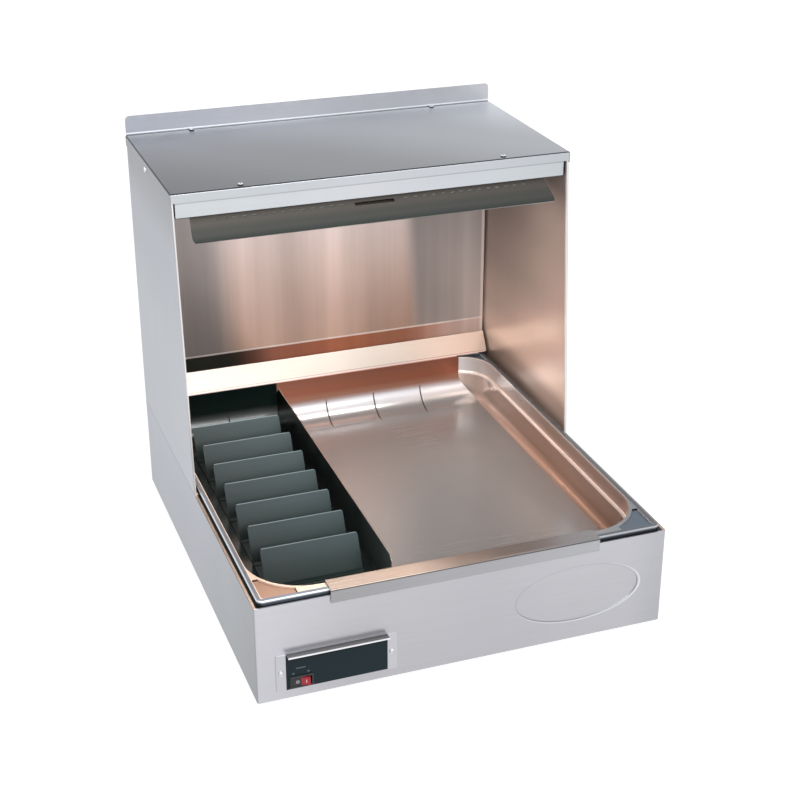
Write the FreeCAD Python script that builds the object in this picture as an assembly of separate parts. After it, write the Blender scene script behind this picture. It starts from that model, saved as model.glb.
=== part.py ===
import FreeCAD, Part
import math
import os

# A countertop chip warmer in folded stainless sheet: a low heated base with a
# lift-out pan, an open-fronted hood behind it, and a radiant heater under the
# hood's lid. Millimetres, +Z up, +Y towards the back, X across, centred.
# Pieces are drawn with the front face at y = 0 and moved to the origin when
# they are written: the middle of the footprint, on the counter.

V = FreeCAD.Vector
os.makedirs("parts", exist_ok=True)

# Overall sizes
WIDTH = 546.0
DEPTH = 613.0
FOOT_HEIGHT = 6.0
SHELL_HEIGHT = 134.5
HOOD_HEIGHT = 408.2
SPLASH_RISE = 26.9

# Sheet, bends and clearances
SKIN = 1.2
LINING = 1.0
FOIL = 0.8
BEND = 1.5
RUN_GAP = 0.3
SEAT_GAP = 0.3
OVERRUN = 4.0
TINY = 1e-6
QUARTER_TURN = 90.0

HALF = WIDTH / 2
SHELL_Z = FOOT_HEIGHT
LEDGE_Z = SHELL_Z + SHELL_HEIGHT
LID_Z = LEDGE_Z + HOOD_HEIGHT
INSIDE = HALF - SKIN
BACK_IN = DEPTH - SKIN
BASE_BACK_IN = BACK_IN - SKIN

# Base shell
CORNER_R = 3.0
LEDGE_SIDE = 10.0
LEDGE_FRONT = 16.0
LEDGE_BACK = 16.6
LEDGE_CORNER_R = 70.0
FLOOR_FLANGE = 15.0
RETURN = 12.0
RETURN_GAP = 4.0
OVAL_INSET = 122.0
OVAL_Z = 66.7
OVAL_LONG = 171.0
OVAL_TALL = 79.0
OVAL_DEEP = 1.0
OVAL_RIM = 2.0

# Vents in the base's back panel
VENT_COUNT = 7
VENT_PITCH = 14.0
VENT_WIDE = 4.0
VENT_TALL = 34.0
VENT_X = 60.0
VENT_Z = 45.0

# Sheet-metal screws with domed heads
SCREW_R = 1.75
SCREW_HOLE_R = 1.85
SCREW_LENGTH = 8.0
HEAD_R = 3.6
HEAD_H = 2.3
HEAD_ROUND = 1.4
RECESS_WIDE = 0.9
RECESS_DEEP = 1.2
RECESS_REACH_SHARE = 0.67
NUT_SIDES = 6
NUT_FLATS = 7.0
NUT_H = 3.2

# Feet
FOOT_R = 15.0
FOOT_TOE_R = 12.5
FOOT_INSET = 40.0
FOOT_HOLE_R = 6.0
FOOT_SCREW_DEEP = 3.4
FOOT_SCREW_LENGTH = 9.6

# Fixing rows
FLOOR_SCREW_INSET = 7.0
FLOOR_SCREW_SHARES = (0.1, 0.5, 0.9)
BACK_SCREW_INSET = 8.0
BACK_SCREW_SHARES = (0.2, 0.72)
LAP = 20.5
LAP_SCREW_COUNT = 5
HOOD_SCREW_SHARES = (0.15, 0.5, 0.82)

# Pan well, blanket heater and insulation under the pan
WELL_GAP = 0.2
WELL_FLANGE = 7.0
WELL_BACK_R = 46.0
BLANKET_T = 1.6
BLANKET_INSET = 70.0
PAD_T = 12.0
PAD_INSET = 33.0
PAD_FRONT = 75.0
PAD_BACK = 45.0
STUD_R = 2.0
STUD_HOLE_R = 2.6
STUD_LENGTH = 20.0
STUD_INSET = 113.2
STUD_ROWS = 3
THERMOSTAT_R = 8.0
THERMOSTAT_H = 10.0
THERMOSTAT_EAR = 12.0
THERMOSTAT_PIN = 3.2
THERMOSTAT_OUT = 17.0
THERMOSTAT_BACK = 200.0

# Food pan
PAN_RIM_INSET = 6.0
PAN_FRONT = 4.0
PAN_BACK_INSET = 10.4
PAN_RIM_R = 8.0
PAN_RIM_H = 7.0
PAN_BEAD = 5.5
PAN_BEAD_R = 2.9
PAN_LAND_DROP = 1.2
PAN_MOUTH_INSET = 13.0
PAN_MOUTH_FRONT = 20.0
PAN_MOUTH_BACK = 23.0
PAN_R_FRONT = 75.0
PAN_R_BACK = 50.0
PAN_DEEP = 68.5
PAN_AIR = 3.5
PAN_STEP_DROP = 26.5
PAN_STEP = 4.5
PAN_STEP_ROUND = 2.5
PAN_FLOOR_R = 12.0
POCKET_INSET = 7.0
POCKET_WALL = 3.5
POCKET_DEEP = 2.4
POCKET_REACH = 52.0
POCKET_R = 4.0

# Serving liner, the curved tray that stands in the pan
LINER_FIT = 0.6
LIP_INSET = 95.0
LIP_DROP = 17.8
LIP_OUT = 0.9
LIP_RUN = 22.9
SLOPE_RUN = 24.0
LINER_FRONT_R = 30.0
TRAY_FRONT_R = 72.0
TRAY_BACK_R = 33.0
LINER_BACK_R = 37.0
LINER_BACK_GAP = 1.3
BACK_LIP_INSET = 4.0
BACK_LIP_RISE = 30.0
BACK_LIP_RUN = 17.7
BACK_LIP_R = 3.5
WALL_RISE = 2.2
SLOT_COUNT = 5
SLOT_END = 88.5
SLOT_WIDE = 2.0
SLOT_TOP = 31.0
SLOT_FLOOR = 40.0

# Divider
DIVIDER_SLOT_COUNT = 2
DIVIDER_T = 1.2
DIVIDER_FRONT = 64.0
DIVIDER_NOSE = 6.0
DIVIDER_FRONT_RISE = 56.5
DIVIDER_BACK_RISE = 64.5
DIVIDER_HEEL = 10.0
DIVIDER_SHOULDER = 12.0
TAB_OUT = 2.5
TAB_LOW_SHARE = 0.35
TAB_HIGH_SHARE = 0.7

# Portion rack
RACK_LEFT_GAP = 20.5
RACK_RIGHT_GAP = 13.9
RACK_COUNT = 7
RACK_BACK_GAP = 79.2
RACK_FIRST = 136.0
RACK_LEAN = 21.0
RACK_RISE = 44.0
RACK_FOOT = 9.0
RACK_T = 1.0
RACK_END = 14.0
RACK_CHAMFER = 2.0

# Hood sheets
SIDE_FRONT_TOP = 332.0
SIDE_LEAN = 35.0
HEM = 10.0
SIDE_FOOT = 4.8
SIDE_TOP_FLANGE = 15.0
SIDE_FLANGE_BACK = 26.0
SIDE_RETURN = 16.0
LID_LEAD = 2.3
LID_FRONT_DROP = 12.5
LID_SIDE_DROP = 14.5
LID_ROUND = 2.0
LID_BACK_GAP = 0.5
LID_CORNER = 6.0
SPLASH_R = 6.0
INNER_BACK_GAP = 6.3
INNER_BACK_SIDE_GAP = 3.2
INNER_BACK_RISE = 44.9
INNER_TOP_INSET = 17.0
FASCIA_SET_BACK = 2.5
FASCIA_INSET = 5.5
FASCIA_DROP = 34.8
FASCIA_RETURN = 14.0
FASCIA_TOP_FLANGE = 17.5
CEILING_DROP = 14.7
CEILING_FRONT_STEP = 12.0
CEILING_SKIRT = 13.0
CEILING_GAP = 0.3
LID_SCREW_INSET = 92.3
LID_SCREW_FRONT = 10.1
LID_SCREW_BACK = 5.0
SIDE_SCREW_INSET = 135.8
SIDE_SCREW_DROP = 9.5

# Radiant heater under the lid
HEATER_INSET = 30.0
HEATER_SET_BACK = 17.5
HEATER_DEEP = 104.0
HEATER_TALL = 30.0
REFLECTOR_T = 0.6
REFLECTOR_LIP = 7.0
REFLECTOR_SLOPE = 14.0
REFLECTOR_RISE = 21.0
END_CAP_FLANGE = 8.0
ELEMENT_R = 4.0
ELEMENT_DROP = 21.0
ELEMENT_PIN_R = 2.0
ELEMENT_PIN = 15.0
BUSH_R = 7.0
BUSH_FLANGE_R = 9.0
BUSH_IN = 7.0
BUSH_OUT = 4.0
BUSH_FLANGE = 2.0
ELEMENT_FIT = 0.05
HANGER_COUNT = 3
HANGER_PITCH = 120.0
HANGER_WIDE = 8.0
HANGER_T = 0.8
TERMINAL_NUT = 3.0
SHADE_INSET = 21.8
SHADE_TOP_INSET = 27.0
SHADE_REACH = 34.0
SHADE_RISE = 23.6
SHADE_FLANGE = 13.0
SHADE_Z = 63.7
SHADE_R = 6.0
SHADE_SLOT = 55.0
SHADE_SLOT_TALL = 3.0
SHADE_SLOT_DROP = 3.0
PERF_END = 25.0
PERF_PITCH = 13.0
PERF_LONG = 6.0
PERF_TALL = 1.4
HEATER_SCREW_INSET = 73.0
HEATER_SCREW_Y = 30.0

# Control plate, label and rocker switch
PLATE_LEFT = 24.0
PLATE_WIDE = 155.0
PLATE_LOW = 12.0
PLATE_TALL = 51.0
PLATE_R = 2.0
VISOR_SIDE = 13.0
VISOR_REACH = 13.0
VISOR_RISE = 2.0
LABEL_SIDE = 12.5
LABEL_T = 0.5
LABEL_MARGIN = 0.8
LABEL_TOP = 1.4
PLATE_SCREW_INSET = 6.3
SWITCH_X = 31.7
SWITCH_Z = 10.4
BEZEL_SIDE = 1.4
BEZEL_EDGE = 1.65
BEZEL_T = 1.8
BEZEL_R = 1.0
SWITCH_WIDE = 27.2
SWITCH_TALL = 13.2
SWITCH_DEEP = 22.0
SWITCH_WALL = 0.9
SWITCH_LIP = 0.85
SWITCH_WELL = 11.5
SWITCH_CUT = 0.4
ROCKER_END_GAP = 1.4
ROCKER_SIDE_GAP = 0.4
ROCKER_TILT = 10.0
ROCKER_PIVOT = 3.7
ROCKER_FACE = 5.2
ROCKER_CROWN = 2.1
ROCKER_ROOT = 1.0
ROCKER_KEEL = 3.2
ROCKER_KEEL_HALF = 8.0
PIVOT_R = 1.2
PIVOT_FIT = 0.05
PIVOT_OUT = 0.7
TAB_WIDE = 6.3
TAB_T = 0.8
TAB_LONG = 8.0
TAB_SPREAD = 7.0

# Mains entry, terminals and wiring
GLAND_INSET = 88.0
GLAND_Z = 32.0
GLAND_BORE_R = 4.2
GLAND_THREAD_R = 8.0
GLAND_DOME_R = 11.0
GLAND_OUT = 9.0
GLAND_IN = 12.0
GLAND_NUT_H = 5.0
GLAND_ROUND = 2.5
GLAND_FIT = 0.2
BLOCK_Y = 70.0
BLOCK_LONG = 46.0
BLOCK_WIDE = 22.0
BLOCK_TALL = 16.0
BLOCK_WAYS = 4
BLOCK_END = 6.0
BLOCK_HOLE_INSET = 3.0
BLOCK_HEAD_R = 3.0
BLOCK_SCREW_R = 2.4
BLOCK_PORT_R = 1.6
GROUND_STUD_OUT = 65.0
GROUND_STUD_R = 2.5
GROUND_STUD_H = 16.0
GROUND_NUT_FLATS = 9.0
WIRE_R = 1.3
WIRE_BEND = 9.0
WIRE_LANE = 5.2
WIRE_END = 5.5
WIRE_OUT = 44.0
WIRE_DOWN = 66.0
WIRE_UP = 88.0
WIRE_BLANKET = 110.0
WIRE_SWITCH_Y = 140.0
WIRE_SWITCH_NEAR = 70.0
WIRE_BLANKET_X = 82.0
WIRE_BLANKET_PITCH = 22.0
LEAD_R = 1.5
LEAD_BEND = 3.2
LEAD_LIFT = 6.0
LEAD_X = 24.0
LEAD_CROSS = 70.0
LEAD_TURN_Z = 40.0
LEAD_APPROACH = 44.0
GROMMET_R = 4.0
GROMMET_HOLE_R = 2.5
GROMMET_T = 3.0


def block(x0, x1, y0, y1, z0, z1):
    return Part.makeBox(x1 - x0, y1 - y0, z1 - z0, V(x0, y0, z0))


def rod(at, along, radius, length):
    return Part.makeCylinder(radius, length, V(*at), V(*along))


def fuse(first, *rest):
    return first.fuse(list(rest)).removeSplitter()


def place(u, v, axis):
    return {"x": V(0, u, v), "y": V(u, 0, v), "z": V(u, v, 0)}[axis]


def unit(a, b):
    length = math.hypot(b[0] - a[0], b[1] - a[1])
    return (b[0] - a[0]) / length, (b[1] - a[1]) / length


def rounded_edges(points, radii, axis):
    """Lines through the points, with a tangent arc of the given radius at each corner."""
    edges, start = [], points[0]
    for i in range(1, len(points) - 1):
        before, after = unit(points[i - 1], points[i]), unit(points[i], points[i + 1])
        cosine = max(-1.0, min(1.0, before[0] * after[0] + before[1] * after[1]))
        half_turn = math.acos(cosine) / 2
        radius = radii[i - 1]
        if radius <= 0 or half_turn == 0:
            edges.append(Part.LineSegment(place(*start, axis), place(*points[i], axis)))
            start = points[i]
            continue
        cut = radius * math.tan(half_turn)
        entry = (points[i][0] - before[0] * cut, points[i][1] - before[1] * cut)
        leave = (points[i][0] + after[0] * cut, points[i][1] + after[1] * cut)
        inward = unit(before, after)
        rise = radius / math.cos(half_turn) - radius
        middle = (points[i][0] + inward[0] * rise, points[i][1] + inward[1] * rise)
        if math.hypot(entry[0] - start[0], entry[1] - start[1]) > TINY:
            edges.append(Part.LineSegment(place(*start, axis), place(*entry, axis)))
        edges.append(Part.Arc(place(*entry, axis), place(*middle, axis), place(*leave, axis)))
        start = leave
    edges.append(Part.LineSegment(place(*start, axis), place(*points[-1], axis)))
    return edges


def offset_points(points, distance):
    """The same path moved to its left by a distance, with mitred corners."""
    moved = []
    for i, point in enumerate(points):
        before = unit(points[i - 1], point) if i else unit(point, points[1])
        after = unit(point, points[i + 1]) if i < len(points) - 1 else before
        normal = (-before[1] - after[1], before[0] + after[0])
        scale = 2 * distance / (normal[0] ** 2 + normal[1] ** 2)
        moved.append((point[0] + normal[0] * scale, point[1] + normal[1] * scale))
    return moved


def sheet(path, thickness, bends, axis, low, high):
    """A folded sheet: its path is one face, and the metal lies to the path's left."""
    near, far = [], []
    for i in range(1, len(path) - 1):
        before, after = unit(path[i - 1], path[i]), unit(path[i], path[i + 1])
        bend = bends[i - 1] if isinstance(bends, (list, tuple)) else bends
        left = before[0] * after[1] - before[1] * after[0] > 0
        near.append(bend + thickness if left else bend)
        far.append(bend if left else bend + thickness)
    other = offset_points(path, thickness)
    edges = rounded_edges(path, near, axis)
    edges.append(Part.LineSegment(place(*path[-1], axis), place(*other[-1], axis)))
    edges += rounded_edges(other[::-1], far[::-1], axis)
    edges.append(Part.LineSegment(place(*other[0], axis), place(*path[0], axis)))
    return extrude([edge.toShape() for edge in edges], axis, low, high)


def extrude(edges, axis, low, high):
    face = Part.Face(Part.Wire(Part.__sortEdges__(edges)))
    along = {"x": V(1, 0, 0), "y": V(0, 1, 0), "z": V(0, 0, 1)}[axis]
    face.translate(along * low)
    return face.extrude(along * (high - low))


def prism(points, axis, low, high):
    corners = [place(u, v, axis) for u, v in points]
    face = Part.Face(Part.makePolygon(corners + corners[:1]))
    along = {"x": V(1, 0, 0), "y": V(0, 1, 0), "z": V(0, 0, 1)}[axis]
    face.translate(along * low)
    return face.extrude(along * (high - low))


def slab(half, y0, y1, r_front, r_back, z0, z1):
    """An upright slab whose plan is a rectangle with rounded front and back corners."""
    middle = (y0 + y1) / 2
    points = [(-half, middle), (-half, y0), (half, y0), (half, y1), (-half, y1), (-half, middle)]
    edges = rounded_edges(points, [r_front, r_front, r_back, r_back], "z")
    return extrude([edge.toShape() for edge in edges], "z", z0, z1)


def lies_at(edge, axis, value):
    """Whether both ends of an edge have one value along an axis."""
    return all(abs(getattr(v, axis) - value) < TINY for v in edge.Vertexes)


def runs_along_y(edge):
    first, last = edge.Vertexes[0], edge.Vertexes[-1]
    return abs(first.X - last.X) < TINY and abs(first.Z - last.Z) < TINY


def round_rim(solid, z, radius):
    """Round every edge that lies at one height."""
    return solid.makeFillet(radius, [e for e in solid.Edges if lies_at(e, "Z", z)])


def screw(at, along, length=SCREW_LENGTH, shank=SCREW_R):
    """A domed cross-head screw whose head sits at a point, with its shank going along."""
    along = V(*along)
    head = Part.makeCylinder(HEAD_R, HEAD_H, V(0, 0, 0), V(0, 0, 1))
    head = round_rim(head, HEAD_H, HEAD_ROUND)
    arm = HEAD_R * RECESS_REACH_SHARE
    deep = HEAD_H - RECESS_DEEP
    wide = RECESS_WIDE / 2
    cross = fuse(block(-arm, arm, -wide, wide, deep, HEAD_H + OVERRUN),
                 block(-wide, wide, -arm, arm, deep, HEAD_H + OVERRUN))
    body = fuse(head.cut(cross), rod((0, 0, -length), (0, 0, 1), shank, length))
    body.Placement = FreeCAD.Placement(V(*at), FreeCAD.Rotation(V(0, 0, -1), along))
    return body


def hole(at, along, radius=SCREW_HOLE_R, reach=OVERRUN):
    """A round cutter that runs past both faces of the sheet at a point."""
    start = V(*at) - V(*along) * reach
    return Part.makeCylinder(radius, 2 * reach, start, V(*along))


def nut(at, flats, height, bore):
    """A plain nut that stands on a point, with its bore upright."""
    reach = flats / 2 / math.cos(math.pi / NUT_SIDES)
    turns = [2 * math.pi * i / NUT_SIDES for i in range(NUT_SIDES)]
    corners = [(at[0] + reach * math.cos(turn), at[1] + reach * math.sin(turn)) for turn in turns]
    body = prism(corners, "z", at[2], at[2] + height)
    return body.cut(rod((at[0], at[1], at[2] - OVERRUN), (0, 0, 1), bore, height + 2 * OVERRUN))


def tube(points, radius, bend):
    """A round lead through points in space, with tangent arcs at its corners."""
    corners = [V(*p) for p in points]
    edges, start = [], corners[0]
    for before, here, after in zip(corners, corners[1:], corners[2:]):
        into, out = (here - before).normalize(), (after - here).normalize()
        half_turn = into.getAngle(out) / 2
        cut = bend * math.tan(half_turn)
        entry, leave = here - into * cut, here + out * cut
        inward = (out - into).normalize()
        middle = here + inward * (bend / math.cos(half_turn) - bend)
        edges.append(Part.LineSegment(start, entry).toShape())
        edges.append(Part.Arc(entry, middle, leave).toShape())
        start = leave
    edges.append(Part.LineSegment(start, corners[-1]).toShape())
    path = Part.Wire(edges)
    ring = Part.Wire(Part.Circle(corners[0], corners[1] - corners[0], radius).toShape())
    return path.makePipeShell([ring], True, False)


def both_sides(shape):
    return [shape, shape.mirror(V(0, 0, 0), V(1, 0, 0))]


def spread(count, pitch):
    return [(i - (count - 1) / 2) * pitch for i in range(count)]


# Places that several pieces share
WELL_HALF = HALF - LEDGE_SIDE + WELL_GAP
WELL_FRONT = LEDGE_FRONT + WELL_GAP
WELL_BACK = BASE_BACK_IN - LEDGE_BACK - WELL_GAP
WELL_FLOOR = LEDGE_Z + RUN_GAP + PAN_RIM_H - PAN_DEEP - FOIL - PAN_AIR
FLOOR_TOP = SHELL_Z + SKIN + LINING
HOOD_INNER = BACK_IN - SKIN
INNER_BACK_Y = HOOD_INNER - INNER_BACK_GAP - LINING
LID_UNDER = LID_Z - LINING
SIDE_FRONT_LOW = SIDE_FRONT_TOP - SIDE_LEAN
LID_FRONT = SIDE_FRONT_TOP - LID_LEAD
FASCIA_FRONT = SIDE_FRONT_TOP + FASCIA_SET_BACK
HEATER_FRONT = FASCIA_FRONT + HEATER_SET_BACK
HEATER_HALF = HALF - HEATER_INSET
SIDE_SCREW_Y = BACK_IN - SIDE_SCREW_INSET
CEILING_Z = LID_UNDER - CEILING_DROP
FASCIA_Z = LID_UNDER - FASCIA_DROP + LINING
PLATE_X = PLATE_LEFT - HALF
PLATE_MID = PLATE_X + PLATE_WIDE / 2
GLAND_X = GLAND_INSET - HALF
BLOCK_X = GLAND_X
PLATE_Z = SHELL_Z + PLATE_LOW
LABEL_Y = -SKIN - LABEL_T
SWITCH_MID_X = PLATE_X + SWITCH_X
SWITCH_MID_Z = PLATE_Z + SWITCH_Z
PLATE_SCREWS = [(PLATE_X + PLATE_SCREW_INSET, PLATE_Z + PLATE_TALL / 2),
                (PLATE_X + PLATE_WIDE - PLATE_SCREW_INSET, PLATE_Z + PLATE_TALL / 2)]
FOOT_SPOTS = [(x, y) for x in (-HALF + FOOT_INSET, HALF - FOOT_INSET)
              for y in (FOOT_INSET, DEPTH - FOOT_INSET)]
FLOOR_SCREWS = [(x, DEPTH * share) for x in (-HALF + FLOOR_SCREW_INSET, HALF - FLOOR_SCREW_INSET)
                for share in FLOOR_SCREW_SHARES]
BASE_BACK_SCREWS = [(x, SHELL_Z + SHELL_HEIGHT * share)
                    for x in (-HALF + BACK_SCREW_INSET, HALF - BACK_SCREW_INSET)
                    for share in BACK_SCREW_SHARES]
LAP_SCREWS = [(x, LEDGE_Z - LAP / 2) for x in spread(LAP_SCREW_COUNT, WIDTH / LAP_SCREW_COUNT)]
HOOD_BACK_SCREWS = [(x, LEDGE_Z + HOOD_HEIGHT * share)
                    for x in (-HALF + BACK_SCREW_INSET, HALF - BACK_SCREW_INSET)
                    for share in HOOD_SCREW_SHARES]
LID_SCREWS = [(x, y) for x in (LID_SCREW_INSET - HALF, HALF - LID_SCREW_INSET)
              for y in (LID_FRONT + LID_SCREW_FRONT, DEPTH - LID_SCREW_BACK)]
HEATER_SCREWS = [(x, HEATER_FRONT + y)
                 for x in (HEATER_SCREW_INSET - HEATER_HALF, HEATER_HALF - HEATER_SCREW_INSET)
                 for y in (HEATER_SCREW_Y, HEATER_DEEP - HEATER_SCREW_Y)]
STUD_SPOTS = [(x, y) for x in (STUD_INSET - WELL_HALF, WELL_HALF - STUD_INSET)
              for y in (PAD_FRONT + (WELL_BACK - PAD_BACK - PAD_FRONT) * (i + 1) / (STUD_ROWS + 1)
                        for i in range(STUD_ROWS))]


# Base

def base_housing():
    """Front and sides folded from one sheet, with ledges inside the top and bottom edges."""
    inner_r = CORNER_R - SKIN
    wrap = slab(HALF, 0, BASE_BACK_IN, CORNER_R, 0, SHELL_Z, LEDGE_Z)
    wrap = wrap.cut(slab(INSIDE, SKIN, BASE_BACK_IN + OVERRUN, inner_r, 0,
                         SHELL_Z + SKIN, LEDGE_Z - SKIN))
    mouth = slab(HALF - LEDGE_SIDE, LEDGE_FRONT, DEPTH + OVERRUN, LEDGE_CORNER_R, 0,
                 LEDGE_Z - SKIN - OVERRUN, LEDGE_Z + OVERRUN)
    below = slab(HALF - FLOOR_FLANGE, FLOOR_FLANGE, DEPTH + OVERRUN, 0, 0,
                 SHELL_Z - OVERRUN, SHELL_Z + SKIN + OVERRUN)
    wrap = wrap.cut([mouth, below])
    returns = both_sides(block(-INSIDE, -INSIDE + RETURN, BASE_BACK_IN - SKIN, BASE_BACK_IN,
                               SHELL_Z + SKIN, LEDGE_Z - SKIN - RETURN_GAP))
    oval_back = oval(OVAL_RIM, SKIN, SKIN + OVAL_DEEP)
    wrap = fuse(wrap, oval_back, *returns)
    cuts = [oval(0, -OVERRUN, OVAL_DEEP)]
    cuts.append(block(SWITCH_MID_X - SWITCH_WIDE / 2 - OVERRUN, SWITCH_MID_X + SWITCH_WIDE / 2
                      + OVERRUN, -OVERRUN, SKIN + OVERRUN,
                      SWITCH_MID_Z - SWITCH_TALL / 2 - SKIN, SWITCH_MID_Z + SWITCH_TALL / 2 + OVERRUN))
    cuts += [hole((x, 0, z), (0, 1, 0)) for x, z in PLATE_SCREWS]
    cuts += [hole((x, y, SHELL_Z), (0, 0, 1)) for x, y in FLOOR_SCREWS]
    cuts += [hole((x, BASE_BACK_IN, z), (0, 1, 0)) for x, z in BASE_BACK_SCREWS]
    return wrap.cut(cuts)


def oval(grow, y0, y1):
    """The plain oval pressed into the front, or its backing when grown."""
    ring = Part.Ellipse(V(0, 0, 0), OVAL_LONG / 2 + grow, OVAL_TALL / 2 + grow).toShape()
    body = Part.Face(Part.Wire(ring)).extrude(V(0, 0, y1 - y0))
    body.rotate(V(0, 0, 0), V(1, 0, 0), QUARTER_TURN)
    body.translate(V(HALF - OVAL_INSET, y1, SHELL_Z + OVAL_Z))
    return body


def base_back_panel():
    """Back wall of the base, folded forward at the top to close the ledge."""
    panel = sheet([(BASE_BACK_IN - LEDGE_BACK, LEDGE_Z), (BACK_IN, LEDGE_Z), (BACK_IN, SHELL_Z)],
                  -SKIN, BEND, "x", -HALF, HALF)
    panel = panel.cut(both_sides(block(-HALF - OVERRUN, -HALF + LEDGE_SIDE + SEAT_GAP,
                                       BASE_BACK_IN - LEDGE_BACK - OVERRUN, BASE_BACK_IN,
                                       LEDGE_Z - SKIN - BEND - OVERRUN, LEDGE_Z + OVERRUN)))
    cuts = [hole((x, BACK_IN, z), (0, 1, 0)) for x, z in BASE_BACK_SCREWS + LAP_SCREWS]
    cuts.append(hole((GLAND_X, BACK_IN, GLAND_Z), (0, 1, 0), GLAND_THREAD_R + GLAND_FIT))
    for x in spread(VENT_COUNT, VENT_PITCH):
        cuts.append(block(VENT_X + x - VENT_WIDE / 2, VENT_X + x + VENT_WIDE / 2,
                          BASE_BACK_IN - OVERRUN, BACK_IN + OVERRUN, VENT_Z, VENT_Z + VENT_TALL))
    for side in (-1, 1):
        cuts.append(hole((side * LEAD_X, lead_y(), LEDGE_Z), (0, 0, 1), GROMMET_HOLE_R, 2 * SKIN))
    return panel.cut(cuts)


def base_bottom_plate():
    """Removable floor that lies on the shell's bottom flanges and carries the feet."""
    plate = slab(INSIDE - SEAT_GAP, SKIN + SEAT_GAP, BASE_BACK_IN - SKIN - SEAT_GAP, CORNER_R,
                 CORNER_R, SHELL_Z + SKIN, FLOOR_TOP)
    cuts = [hole((x, y, FLOOR_TOP), (0, 0, 1)) for x, y in FLOOR_SCREWS + FOOT_SPOTS]
    cuts += [hole((x, BASE_BACK_IN - BLOCK_Y, FLOOR_TOP), (0, 0, 1)) for x in block_holes()]
    return plate.cut(cuts)


def feet():
    """Soft feet with a recess for the screw that holds each one."""
    top = SHELL_Z + SKIN
    solids = []
    for x, y in FOOT_SPOTS:
        foot = Part.makeCone(FOOT_TOE_R, FOOT_R, top, V(x, y, 0), V(0, 0, 1))
        foot = foot.cut([rod((x, y, -OVERRUN), (0, 0, 1), FOOT_HOLE_R, FOOT_SCREW_DEEP + OVERRUN),
                         rod((x, y, 0), (0, 0, 1), SCREW_HOLE_R, top + OVERRUN)])
        solids.append(foot)
    return solids


def foot_screws():
    return [screw((x, y, FOOT_SCREW_DEEP), (0, 0, 1), FOOT_SCREW_LENGTH) for x, y in FOOT_SPOTS]


def foot_nuts():
    return [nut((x, y, FLOOR_TOP), NUT_FLATS, NUT_H, SCREW_HOLE_R) for x, y in FOOT_SPOTS]


def bottom_plate_screws():
    return [screw((x, y, SHELL_Z), (0, 0, 1)) for x, y in FLOOR_SCREWS]


def base_back_screws():
    return [screw((x, BACK_IN, z), (0, -1, 0)) for x, z in BASE_BACK_SCREWS]


# Pan well and its heat

def well_liner():
    """Sheet tub hung under the ledge, with welded studs for the heater stack."""
    flange_z = LEDGE_Z - SKIN - LINING
    flange = slab(WELL_HALF + WELL_FLANGE, WELL_FRONT - WELL_FLANGE, WELL_BACK + WELL_FLANGE,
                  LEDGE_CORNER_R + WELL_FLANGE, WELL_BACK_R, flange_z, flange_z + LINING)
    tub = slab(WELL_HALF + LINING, WELL_FRONT - LINING, WELL_BACK + LINING,
               LEDGE_CORNER_R + LINING, WELL_BACK_R + LINING, WELL_FLOOR - LINING, flange_z)
    hollow = slab(WELL_HALF, WELL_FRONT, WELL_BACK, LEDGE_CORNER_R, WELL_BACK_R,
                  WELL_FLOOR, LEDGE_Z)
    studs = [rod((x, y, WELL_FLOOR - LINING - STUD_LENGTH), (0, 0, 1), STUD_R, STUD_LENGTH)
             for x, y in STUD_SPOTS]
    return fuse(fuse(flange, tub).cut(hollow), *studs)


def stack_layer(inset, front, back, z0, z1):
    half = WELL_HALF - inset
    layer = block(-half, half, WELL_FRONT + front, WELL_BACK - back, z0, z1)
    return layer.cut([hole((x, y, (z0 + z1) / 2), (0, 0, 1), STUD_HOLE_R, z1 - z0)
                      for x, y in STUD_SPOTS])


BLANKET_Z = WELL_FLOOR - LINING
BACKING_Z = BLANKET_Z - BLANKET_T
PAD_Z = BACKING_Z - FOIL
COVER_Z = PAD_Z - PAD_T


def heater_blanket():
    """Flat rubber heater pressed against the underside of the well."""
    return stack_layer(BLANKET_INSET, BLANKET_INSET, BLANKET_INSET, BACKING_Z, BLANKET_Z)


def blanket_backing_plate():
    return stack_layer(BLANKET_INSET - PAD_T, BLANKET_INSET - PAD_T, BLANKET_INSET - PAD_T,
                       PAD_Z, BACKING_Z)


def insulation_pad():
    return stack_layer(PAD_INSET, PAD_FRONT - PAD_T, PAD_BACK - PAD_T, COVER_Z, PAD_Z)


def insulation_cover():
    return stack_layer(PAD_INSET - SKIN, PAD_FRONT - PAD_T - SKIN, PAD_BACK - PAD_T - SKIN,
                       COVER_Z - FOIL, COVER_Z)


def stud_nuts():
    return [nut((x, y, COVER_Z - FOIL - NUT_H), NUT_FLATS, NUT_H, STUD_R + ELEMENT_FIT)
            for x, y in STUD_SPOTS]


def thermostat():
    """Snap-disc thermostat clipped to the well's underside beside the insulation."""
    x, y = -WELL_HALF + THERMOSTAT_OUT, WELL_FRONT + THERMOSTAT_BACK
    flange = block(x - THERMOSTAT_EAR, x + THERMOSTAT_EAR, y - THERMOSTAT_R, y + THERMOSTAT_R,
                   BLANKET_Z - LINING, BLANKET_Z)
    body = rod((x, y, BLANKET_Z - THERMOSTAT_H), (0, 0, 1), THERMOSTAT_R, THERMOSTAT_H)
    tabs = [block(x - TAB_WIDE / 2, x + TAB_WIDE / 2, y + side * THERMOSTAT_PIN - TAB_T / 2,
                  y + side * THERMOSTAT_PIN + TAB_T / 2, BLANKET_Z - THERMOSTAT_H - TAB_LONG,
                  BLANKET_Z - THERMOSTAT_H) for side in (-1, 1)]
    return fuse(flange, body, *tabs)


# Food pan

def pan_outline(inset, z0, z1):
    """The pan's mouth outline, moved inwards by an inset."""
    return slab(HALF - PAN_MOUTH_INSET - inset, PAN_MOUTH_FRONT + inset,
                DEPTH - PAN_MOUTH_BACK - inset, PAN_R_FRONT - inset, PAN_R_BACK - inset, z0, z1)


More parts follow.
